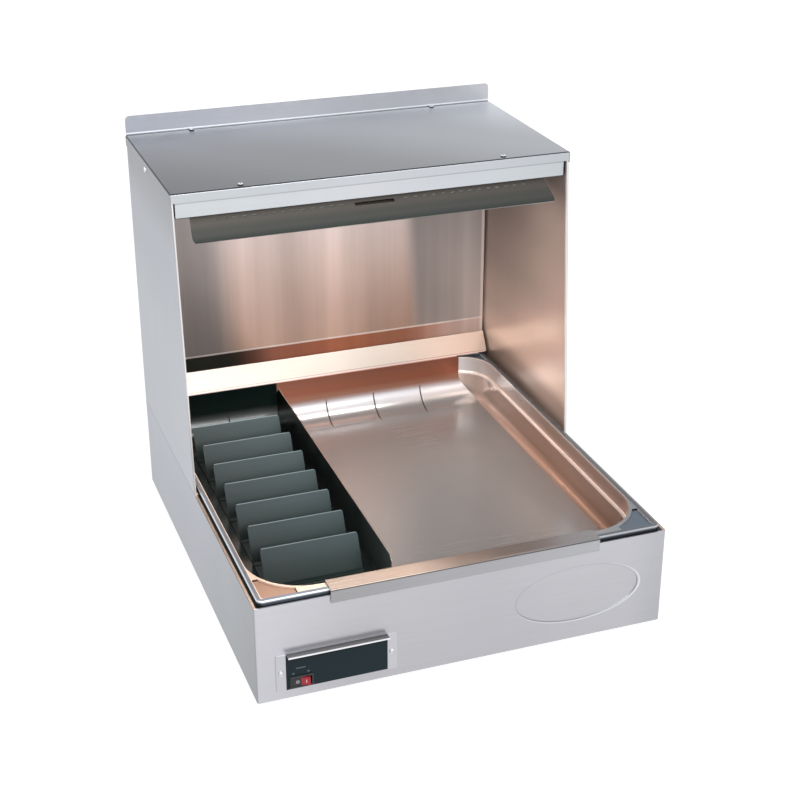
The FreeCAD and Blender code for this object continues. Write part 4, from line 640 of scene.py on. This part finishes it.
def shade_look(finish):
    x, _, z = finish.axes()
    rightward = finish.share(x, -HALF, HALF)
    # Painted shade: warm grey at the top, dark below, darker to the right.
    fall = finish.bands(z, (shade_low[2], paint(60, 66, 63)),
                        (shade_low[2] + 9 * MM, paint(96, 97, 93)),
                        (shade_high[2] - 14 * MM, paint(156, 149, 143)),
                        (shade_high[2], paint(140, 135, 130)))
    fall = finish.dim(fall, 1 - rightward * SHADE_DARKER)
    # Painted highlight along the lower edge.
    rim = finish.before(z, shade_low[2] + SHADE_RIM) * rightward
    return finish.mix(rim * SHADE_EDGE_HIGHLIGHT, fall, paint(206, 210, 210))


dress(brushed("shade_steel", shade_look, rough=0.42, streaks=0.03, metal=SHADE_METAL),
      "heater_shade")

# %% [markdown]
# Two plates that the model lacks
#
# The slot in the shade would show the bright room behind the heater, so a small plate on the
# heater housing's front closes the view. Its dark colour is painted shade, for the dark inside of
# the heater. The back wall stops a few millimetres above the liner's lip, and the eye would look
# through that gap into the hood's hollow back. One narrow plate carries the wall down to the base
# behind the pan. It takes the wall's own finish, with its painted reflection and shade, so the
# strip below the hem goes on without a joint. Each is a cube, scaled and moved in its mesh.

# %% Slot baffle and the back wall's foot
SHEET = 0.8 * MM
BAFFLE_HALF = 32 * MM
BAFFLE_DROP = 14 * MM
BAFFLE_LAP = 3 * MM
FOOT_GAP = 0.5 * MM


def plate(name, low, high, material):
    """A flat plate between two corners that rides on the warmer's fixed body."""
    form = bmesh.new()
    bmesh.ops.create_cube(form, size=1.0)
    bmesh.ops.scale(form, vec=[high[i] - low[i] for i in range(3)], verts=form.verts)
    bmesh.ops.translate(form, vec=[(high[i] + low[i]) / 2 for i in range(3)], verts=form.verts)
    mesh = bpy.data.meshes.new(name)
    form.to_mesh(mesh)
    form.free()
    mesh.materials.append(material)
    made = bpy.data.objects.new(name, mesh)
    scene.collection.objects.link(made)
    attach(made, "warmer_body")
    print(name, [round(size / MM, 1) for size in made.dimensions], "mm")


# Painted shade: the baffle's dark colour.
baffle_steel = brushed("baffle_steel", paint(52, 44, 38), rough=0.6, metal=SHADE_METAL)
plate("slot_baffle", (-BAFFLE_HALF, housing_low[1], housing_low[2] - BAFFLE_DROP),
      (BAFFLE_HALF, housing_low[1] + SHEET, housing_low[2] + BAFFLE_LAP), baffle_steel)
plate("back_wall_foot", (wall_low[0], wall_low[1], BASE_TOP + FOOT_GAP),
      (wall_high[0], wall_low[1] + SHEET, wall_low[2]), wall_steel)

# %% Sheets inside the hood
dress(brushed("galvanised", paint(168, 171, 172), rough=0.5), "ceiling_panel", "heater_housing",
      "heater_end_caps", "insulation_cover", "blanket_backing_plate", "element_hangers")
dress(brushed("reflector_metal", paint(225, 225, 222), rough=0.15), "heater_reflector")

# %% [markdown]
# The food pan
#
# A deep-drawn pan is brighter than folded sheet, because the press polishes it. Its mouth and the
# step below it are rounded edges that gather the light into two cream lines all the way round.
# The flat land is painted a cool grey on the right and a pale cream by the front left corner, for
# the warm light of the heater that falls there. The walls carry a painted warm reflection, lighter
# towards the back. The rolled bead outside has a painted highlight, a bright bar above a dark line
# of painted shade. Under the rack, at the left, the pan is painted dark, as shade, and the corner
# pockets have a thin line of painted shade along their floor. The model's rounded edges are too
# narrow to catch a lamp by themselves, so the cream lines are painted at their heights.

# %% Food pan
LAND = pan_high[2] - 1.2 * MM
LAND_SKIN = 0.15 * MM
LAND_SOFT = 0.1 * MM
WALL_FOOT = LAND - 27 * MM
WALL_FOOT_SOFT = 1.0 * MM
STEP = pan_high[2] - 26.5 * MM
STEP_HALF = 1.3 * MM
MOUTH = LAND - 1.7 * MM
MOUTH_HALF = 1.6 * MM
POCKET = LAND - 2.4 * MM
POCKET_HALF = 0.3 * MM
# Strength of the pan's painted shade and painted highlights.
PAN_PAINTED_LIGHT = 0.9
DARK_EDGE = -0.586 * HALF
DARK_EDGE_SOFT = 40 * MM
DARK_TOP = LAND - 12 * MM
DARK_TOP_SOFT = 5 * MM
BEAD = 5.5 * MM
BEAD_DIM = 0.45


def bead_look(finish, x, z):
    """The rolled rim: a painted highlight above a dark line of painted shade, duller to the right."""
    bead = finish.bands(z, (pan_high[2] - 7.0 * MM, paint(64, 72, 80)),
                        (pan_high[2] - 4.2 * MM, paint(44, 52, 58)),
                        (pan_high[2] - 3.0 * MM, paint(150, 156, 166)),
                        (pan_high[2] - 1.4 * MM, paint(236, 240, 246)),
                        (pan_high[2], paint(124, 130, 140)))
    return finish.dim(bead, 1 - finish.share(x, 0.0, HALF * 0.6) * BEAD_DIM)


def pan_look(finish):
    x, y, z = finish.axes()
    # Painted warm reflection on the walls, lighter towards the back.
    wall = finish.bands(y, (FRONT, paint(152, 122, 108)), (0.0, paint(168, 141, 128)),
                        (BACK * 0.6, paint(188, 176, 171)), (BACK, paint(206, 201, 201)))
    lower = finish.bands(y, (FRONT, paint(146, 114, 98)), (0.0, paint(174, 142, 124)),
                         (BACK, paint(192, 172, 162)))
    body = finish.mix(finish.past(z, WALL_FOOT, WALL_FOOT_SOFT), lower, wall)
    # Painted shade at the left, under the rack.
    left = finish.before(x, DARK_EDGE, DARK_EDGE_SOFT)
    dark = left * finish.before(z, DARK_TOP, DARK_TOP_SOFT)
    body = finish.mix(dark * PAN_PAINTED_LIGHT, body, paint(24, 34, 34))
    # Painted highlights on the step and the mouth.
    step = finish.line(z, STEP, STEP_HALF) * (1 - left)
    mouth = finish.line(z, MOUTH, MOUTH_HALF)
    body = finish.mix((step + mouth) * PAN_PAINTED_LIGHT, body, paint(252, 236, 228))
    # Painted light on the land: warm cream at the front left, cool grey to the right.
    land = finish.bands(x, (-HALF, paint(240, 218, 198)), (-HALF * 0.5, paint(236, 214, 198)),
                        (HALF * 0.4, paint(150, 146, 146)), (HALF, paint(128, 132, 138)))
    body = finish.mix(finish.past(z, LAND - LAND_SKIN, LAND_SOFT), body, land)
    # Painted shade along the pockets' floor.
    pocket = finish.bands(x, (-HALF, paint(176, 140, 118)), (HALF, paint(84, 98, 112)))
    body = finish.mix(finish.line(z, POCKET, POCKET_HALF), body, pocket)
    outside = finish.past(abs(x), pan_high[0] - BEAD) + finish.before(y, pan_low[1] + BEAD)
    return finish.mix(outside, body, bead_look(finish, x, z))


dress(brushed("pan_steel", pan_look, "y", rough=0.26, streaks=0.0, patches=0.05, depth=0.0,
              glint=0.0, metal=INNER_METAL),
      "food_pan")

# %% [markdown]
# The serving liner
#
# One sheet makes the tray inside the pan: a hook over the front edge, a floor, a rounded back and
# a leaning lip. The lip faces the heater and is painted nearly white, as its light, with a fold
# line of painted shade along its foot. The wall under it is painted copper brown, as a warm
# reflection, and the curve at its foot gets a broad painted highlight. Left of the divider the
# same wall sees only the dark rack, and is painted dark, as reflection and shade. The hook is
# painted grey in front and warmer on top, as reflection, with painted shade at its turn. Bowl,
# lip and hook could be three materials on three groups of faces. They are three functions in one
# material instead, joined by where a point lies, so the sheet stays one piece with one finish.

# %% Serving liner
BAY_SOFT = 1.0 * MM
LIP_FOOT = liner_low[2] + 71.4 * MM
LIP_SOFT = 1.0 * MM
LIP_TOP_LEVEL = 1.06
LIP_FALL = 0.12
FOLD_RISE = 2.2 * MM
# The fold line of painted shade along the lip's foot.
FOLD_LINE = 2.6 * MM
FOLD_LINE_HALF = 0.5 * MM
FOLD_SHADE = 0.5
HOOK_DEEP = 22 * MM
HOOK_HALF = 0.65 * HALF
HOOK_TOP = liner_low[2] + 67.6 * MM
HOOK_TURN = liner_low[2] + 67.4 * MM
HOOK_TURN_HALF = 0.7 * MM
HOOK_FACE = 2.2 * MM


def bowl_look(finish, x, z):
    """Floor, curve and back wall: painted copper reflection, and painted shade left of the divider."""
    floor_z = liner_low[2]
    # Painted copper reflection, with a painted highlight round the curve.
    copper = finish.bands(z, (floor_z, paint(150, 149, 149)), (floor_z + 4 * MM, paint(156, 154, 154)),
                          (floor_z + 14 * MM, paint(206, 206, 209)),
                          (floor_z + 24 * MM, paint(214, 214, 219)),
                          (floor_z + 36 * MM, paint(160, 114, 94)),
                          (floor_z + 46.4 * MM, paint(150, 92, 70)), (LIP_FOOT, paint(136, 86, 68)))
    # Painted shade left of the divider, for the dark rack.
    dark = finish.bands(z, (floor_z, paint(30, 40, 40)), (floor_z + 12 * MM, paint(40, 50, 50)),
                        (floor_z + 24 * MM, paint(98, 101, 102)),
                        (floor_z + 38 * MM, paint(30, 44, 42)), (LIP_FOOT, paint(20, 34, 32)))
    return finish.mix(finish.before(x, DIVIDER_X, BAY_SOFT), copper, dark)


def lip_look(finish, x, z):
    """The leaning lip: painted nearly white, with a pinker band and a painted shade line at its foot.
    """
    lip = finish.bands(x, (-HALF, paint(208, 193, 182)), (-HALF * 0.3, paint(198, 187, 177)),
                       (HALF * 0.25, paint(202, 192, 183)), (HALF * 0.6, paint(205, 190, 178)),
                       (HALF, paint(200, 180, 168)))
    # Painted light on the lip, falling off towards its foot.
    lip = finish.dim(lip, LIP_TOP_LEVEL - finish.share(z, liner_high[2], LIP_FOOT) * LIP_FALL)
    lip = finish.mix(finish.before(z, LIP_FOOT + FOLD_RISE), lip, paint(206, 182, 176))
    # Painted shade along the fold.
    fold = finish.line(z, LIP_FOOT + FOLD_LINE, FOLD_LINE_HALF)
    return finish.mix(fold * FOLD_SHADE, lip, paint(120, 100, 92))


def hook_look(finish, x, y, z):
    """The hook over the front edge: painted grey in front, warmer on top, and painted shade at the
    turn.
    """
    face = finish.bands(x, (-HOOK_HALF, paint(156, 156, 159)), (0.0, paint(166, 166, 170)),
                        (HOOK_HALF, paint(174, 175, 179)))
    over = finish.bands(x, (-HOOK_HALF, paint(178, 160, 148)), (-HALF * 0.28, paint(188, 166, 151)),
                        (0.0, paint(130, 113, 104)), (HOOK_HALF, paint(132, 129, 131)))
    hook = finish.mix(finish.past(z, HOOK_TOP), face, over)
    # Painted shade at the hook's turn.
    turn = finish.line(z, HOOK_TURN, HOOK_TURN_HALF) * finish.before(y, liner_low[1] + HOOK_FACE)
    return finish.mix(turn * PRINT_AND_PAINTED_LIGHT, hook, paint(44, 46, 48))


def liner_look(finish):
    x, y, z = finish.axes()
    bowl = bowl_look(finish, x, z)
    inside = finish.mix(finish.past(z, LIP_FOOT, LIP_SOFT), bowl, lip_look(finish, x, z))
    return finish.mix(finish.before(y, FRONT + HOOK_DEEP), inside, hook_look(finish, x, y, z))


dress(brushed("liner_steel", liner_look, rough=0.24, metal=INNER_METAL), "serving_liner")

# %% [markdown]
# The divider
#
# The plate between the two bays is painted with a reflection of the rack's dark bay on its left
# face, and of the warm bay on its right one. Its cut edge has a thin painted highlight along the
# top and down the front end. As on the hood's sides, a point's place across the object tells the
# two faces apart.

# %% Divider
DIVIDER_RIM = 0.9 * MM
DIVIDER_END = 1.2 * MM


def divider_look(finish):
    x, y, z = finish.axes()
    # Painted reflection and shade on both faces.
    left = finish.bands(y, (FRONT * 0.803, paint(150, 156, 156)), (FRONT * 0.624, paint(104, 114, 114)),
                        (FRONT * 0.328, paint(40, 52, 52)), (0.0, paint(12, 22, 22)),
                        (BACK * 0.8, paint(40, 40, 38)))
    right = finish.bands(y, (FRONT, paint(140, 116, 104)), (BACK, paint(184, 158, 146)))
    faces = finish.mix(finish.past(x, DIVIDER_X), left, right)
    # Painted highlight on the cut edge.
    rim = finish.past(z, divider_high[2] - DIVIDER_RIM)
    rim = rim + finish.before(y, divider_low[1] + DIVIDER_END)
    return finish.mix(rim * PRINT_AND_PAINTED_LIGHT, faces, paint(220, 200, 188))


dress(brushed("divider_steel", divider_look, "y", rough=0.3), "divider")

# %% [markdown]
# The portion rack
#
# The rack's leaning plates are dark, with a satin coat. A painted highlight runs along their top
# edges, for the light from the hood, and the coat is painted darker towards the foot and the left,
# as the shadow of the side. The rack's pieces share one material, because it reads where a point
# is on the whole object.

# %% Portion rack
RACK_FOOT = 6 * MM
RACK_RIM = 0.9 * MM
RACK_LEFT = 0.82
RACK_LIFT = 0.75


def rack_look(finish):
    x, _, z = finish.axes()
    # Painted shade: darker towards the foot and the left.
    coat = finish.bands(z, (plate_low[2] + RACK_FOOT, paint(26, 40, 38)),
                        (plate_high[2], paint(46, 58, 60)))
    coat = finish.dim(coat, RACK_LEFT + finish.share(x, plate_low[0], plate_high[0]) * RACK_LIFT)
    # Painted highlight along the top edges.
    return finish.mix(finish.past(z, plate_high[2] - RACK_RIM), coat, paint(118, 134, 136))


dress(brushed("rack_steel", rack_look, rough=0.45, streaks=0.06, metal=0.3),
      "rack_base", *["rack_plate_%d" % number for number in range(1, 8)])

# %% [markdown]
# Screws and the control plate
#
# Screw heads are bright dots. Those on the lid have a painted highlight above the sheet and painted
# shade at their foot, which is what makes so small a thing readable. The control plate is the
# shell's own grey, and the visor folded out over its label is painted from a nearly white highlight
# at its front edge to dark shade at its root.

# %% Screws and nuts
HEAD_RISE = 1.5 * MM
HEAD_SOFT = 0.3 * MM
HEAD_DROP = 2.0 * MM


def lid_screw_look(finish):
    z = finish.axes()[2]
    # Painted highlight on the head and painted shade at its foot.
    head = finish.past(z, LID_TOP + HEAD_RISE, HEAD_SOFT) + finish.before(z, LID_TOP - HEAD_DROP)
    return finish.mix(head, paint(36, 38, 42), paint(240, 242, 246))


dress(brushed("lid_screw_steel", lid_screw_look, rough=0.28), "lid_screws")
dress(brushed("screw_steel", paint(206, 207, 210), rough=0.28), "hood_back_screws",
      "control_plate_screws", "foot_screws", "foot_nuts", "bottom_plate_screws",
      "base_back_screws", "stud_nuts", "heater_screws")

# %% Control plate
VISOR_ROOT = 2 * MM


def control_look(finish):
    y = finish.axes()[1]
    # Painted highlight at the visor's front edge, and painted shade towards its root.
    visor = finish.bands(y, (CONTROL_FACE, paint(232, 232, 234)),
                         (CONTROL_FACE + 1.0 * MM, paint(206, 206, 208)),
                         (CONTROL_FACE + 2.2 * MM, paint(98, 98, 97)), (FRONT, paint(52, 52, 50)))
    return finish.mix(finish.before(y, FRONT - VISOR_ROOT), paint(188, 188, 193), visor)


dress(brushed("plate_steel", control_look, rough=0.34, streaks=0.02), "control_plate")

# %% [markdown]
# Plastics, rubber, brass and wool
#
# The small parts are moulded, cast or woven. A fine even grain gives each its surface, and a slow
# noise stops the colour from being perfectly flat. One function makes them all, because they
# differ in colour, gloss and grain, but not in kind.

# %% Finishes for the small parts
SLOW = 30.0
GRAIN = 900.0
GRAIN_GLINT = 0.075


def plain(name, colour, rough, metal=0.0, grain=GRAIN, depth=0.02 * MM, vary=0.08, **constants):
    """A moulded, cast or woven surface: a fine even grain and a slow change of tone."""
    finish = Finish(name, Metallic=metal, **constants)
    fine = finish.noise((grain, grain, grain))
    slow = finish.noise((SLOW, SLOW, SLOW), seed=(2, 4, 6))
    tinted = colour if isinstance(colour, tuple) else colour(finish)
    return finish.give(Base_Color=finish.dim(tinted, 1 + finish.swing(slow, vary)),
                       Roughness=rough + finish.swing(fine, GRAIN_GLINT),
                       Normal=finish.bump(fine, depth))


dress(plain("black_plastic", paint(26, 28, 30), 0.4), "switch_body", "cord_gland", "gland_nut")
dress(plain("foot_rubber", paint(42, 42, 43), 0.75), "rubber_feet")
dress(plain("heater_rubber", paint(190, 110, 70), 0.7), "heater_blanket")
dress(plain("insulation", paint(228, 222, 196), 0.95, depth=0.4 * MM), "insulation_pad")
dress(plain("lead_sleeve", paint(218, 212, 196), 0.8, grain=2500.0), "heater_leads", "base_wiring")
dress(plain("element_sheath", paint(150, 105, 85), 0.5, metal=0.8), "heating_element")
dress(plain("ceramic", paint(232, 228, 215), 0.6), "element_bushes", "lead_grommets",
      "terminal_block", "thermostat")
dress(plain("brass_parts", paint(214, 180, 110), 0.3, metal=1.0), "element_terminals",
      "switch_terminals", "terminal_screws", "ground_stud")

# %% [markdown]
# The switch and its label
#
# The rocker has a dark half with the usual circle for off and a red half with a bar for on. The
# label round it is printed film, bare but for two dots and a bar where a panel has its legends.
# The marks are distances from a centre: a circle is a thin line round a squared distance, and a
# bar is a line that is cut off above and below. No image and no text is needed.

# %% Switch and label
ROCKER_X = (rocker_low[0] + rocker_high[0]) / 2
ROCKER_Z = (rocker_low[2] + rocker_high[2]) / 2
MARK = 1.7 * MM
CIRCLE_X = 0.6 * ROCKER_X + 0.4 * rocker_low[0]
CIRCLE_HALF = 0.5 * MARK * MARK
BAR_X = 0.5 * ROCKER_X + 0.5 * rocker_high[0]
BAR_HALF = 0.3 * MARK
BAR_RISE = 1.4 * MARK
DOT_GAP = 9.5 * MM
DOT_Z = 40.5 * MM
DOT_WIDE = 1.3 * MM
DOT_TALL = 1.1 * MM
LEGEND_HALF = 6 * MM
LEGEND_RISE = 7 * MM
LEGEND_THICK = 0.7 * MM
LEGEND_INK = 0.4


def rocker_look(finish):
    x, _, z = finish.axes()
    halves = finish.mix(finish.past(x, ROCKER_X), paint(20, 26, 28), paint(168, 30, 46))
    rise = z - ROCKER_Z
    aside = x - CIRCLE_X
    circle = finish.line(aside * aside + rise * rise, MARK * MARK, CIRCLE_HALF)
    bar = finish.line(x, BAR_X, BAR_HALF) * finish.before(abs(rise), BAR_RISE)
    return finish.mix((circle + bar) * PRINT_AND_PAINTED_LIGHT, halves, paint(226, 214, 214))


def label_look(finish):
    x, _, z = finish.axes()
    aside = abs(x - ROCKER_X)
    dots = finish.line(aside, DOT_GAP, DOT_WIDE) * finish.line(z, DOT_Z, DOT_TALL)
    bar = finish.before(aside, LEGEND_HALF) * finish.line(z, DOT_Z + LEGEND_RISE, LEGEND_THICK)
    return finish.mix((dots + bar) * LEGEND_INK, paint(16, 34, 40), paint(150, 160, 164))


dress(plain("rocker_plastic", rocker_look, 0.3), "rocker")
dress(plain("black_label", label_look, 0.35, Specular_IOR_Level=0.2), "control_label")
bare = sorted(set(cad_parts) - set(dressed))
print("dressed", len(dressed), "nodes, still bare:", bare)

# %% [markdown]
# The room
#
# A catalogue picture of steel needs something pale to reflect. The floor is one large plane, and
# the world is white wherever the camera or a reflection looks at it. As a source of light the
# world is dimmer, so that the lamps can still draw soft shadows under the base and in the hood.
# The floor glows by just as much as it lacks of white, and only for the camera and reflections,
# so that it stays white and still takes a faint shadow.

# %% Floor
FLOOR_HALF = 6.0
FLOOR_GLOW = 0.88
FLOOR_GREY = (0.2, 0.2, 0.2, 1)
floor_form = bmesh.new()
bmesh.ops.create_grid(floor_form, x_segments=1, y_segments=1, size=FLOOR_HALF)
floor_mesh = bpy.data.meshes.new("floor")
floor_form.to_mesh(floor_mesh)
floor_form.free()
floor = bpy.data.objects.new("floor", floor_mesh)
scene.collection.objects.link(floor)

floor_white = Finish("floor_white", Roughness=0.6, Base_Color=FLOOR_GREY, Emission_Strength=FLOOR_GLOW)
floor_white.give(Emission_Color=floor_white.mix(floor_white.watched(), BLACK, WHITE))
floor_mesh.materials.append(floor_white.material)
print("floor", 2 * FLOOR_HALF, "metres across")

# %% World
WORLD_LIGHT = 0.55
scene.world = bpy.data.worlds.new("studio")
scene.world.use_nodes = True
sky = Nodes(scene.world.node_tree)
background = sky.tree.nodes["Background"]
sky.feed(background.inputs["Color"], WHITE)
sky.feed(background.inputs["Strength"], WORLD_LIGHT + sky.watched() * (1 - WORLD_LIGHT))
print("world light", WORLD_LIGHT)

# %% [markdown]
# Lamps
#
# Two large soft lamps stand in front, the stronger one on the left. They are far enough away to
# give an even level, at which a colour renders about as it is written. A third looks into the
# hood's opening from above the front, and a narrow warm one stands in for the heater's own glow.

# %% Lamps
MIDDLE = (0, 0, 0.2)


def soft_lamp(name, place, target, size, power, colour=(1, 1, 1)):
    """A soft box, wide by deep, that looks at a target."""
    data = bpy.data.lights.new(name, "AREA")
    data.shape = "RECTANGLE"
    data.size, data.size_y = size
    data.energy = power
    data.color = colour
    lamp = bpy.data.objects.new(name, data)
    scene.collection.objects.link(lamp)
    lamp.location = place
    lamp.rotation_euler = (Vector(target) - Vector(place)).to_track_quat("-Z", "Y").to_euler()
    print("lamp", name, power, "W")


soft_lamp("key", (-1.9, -2.2, 2.6), MIDDLE, (2.4, 2.4), 30)
soft_lamp("fill", (2.4, -1.6, 1.4), MIDDLE, (2.0, 2.0), 10)
soft_lamp("bay", (0, -1.3, 0.95), (0, 0.2, 0.25), (0.9, 0.5), 9)
soft_lamp("heater", (0, 0.09, 0.495), (0, 0.13, 0.1), (0.42, 0.07), 1.5, (1.0, 0.92, 0.85))

# %% [markdown]
# The camera
#
# The picture is taken from a step to the left and well above the counter. The focal length is
# given in pixels of an 800 pixel frame, because that is how it was found: by moving the camera
# until sixteen points of the model fell near the same points of the photograph.

# %% Camera
FRAME_PIXELS = 800
FOCAL_PIXELS = 1584.0
SENSOR = 36.0
CAMERA_PLACE = (-0.6494, -1.8439, 1.1614)
LOOK_DOWN = 25.385
LOOK_RIGHT = 19.98
camera_data = bpy.data.cameras.new("camera")
camera_data.sensor_width = SENSOR
camera_data.lens = FOCAL_PIXELS / FRAME_PIXELS * SENSOR
camera = bpy.data.objects.new("camera", camera_data)
scene.collection.objects.link(camera)
camera.location = CAMERA_PLACE
camera.rotation_euler = (math.radians(90 - LOOK_DOWN), 0, math.radians(-LOOK_RIGHT))
scene.camera = camera
scene.view_settings.view_transform = "Standard"
print("lens", round(camera_data.lens, 1), "mm")
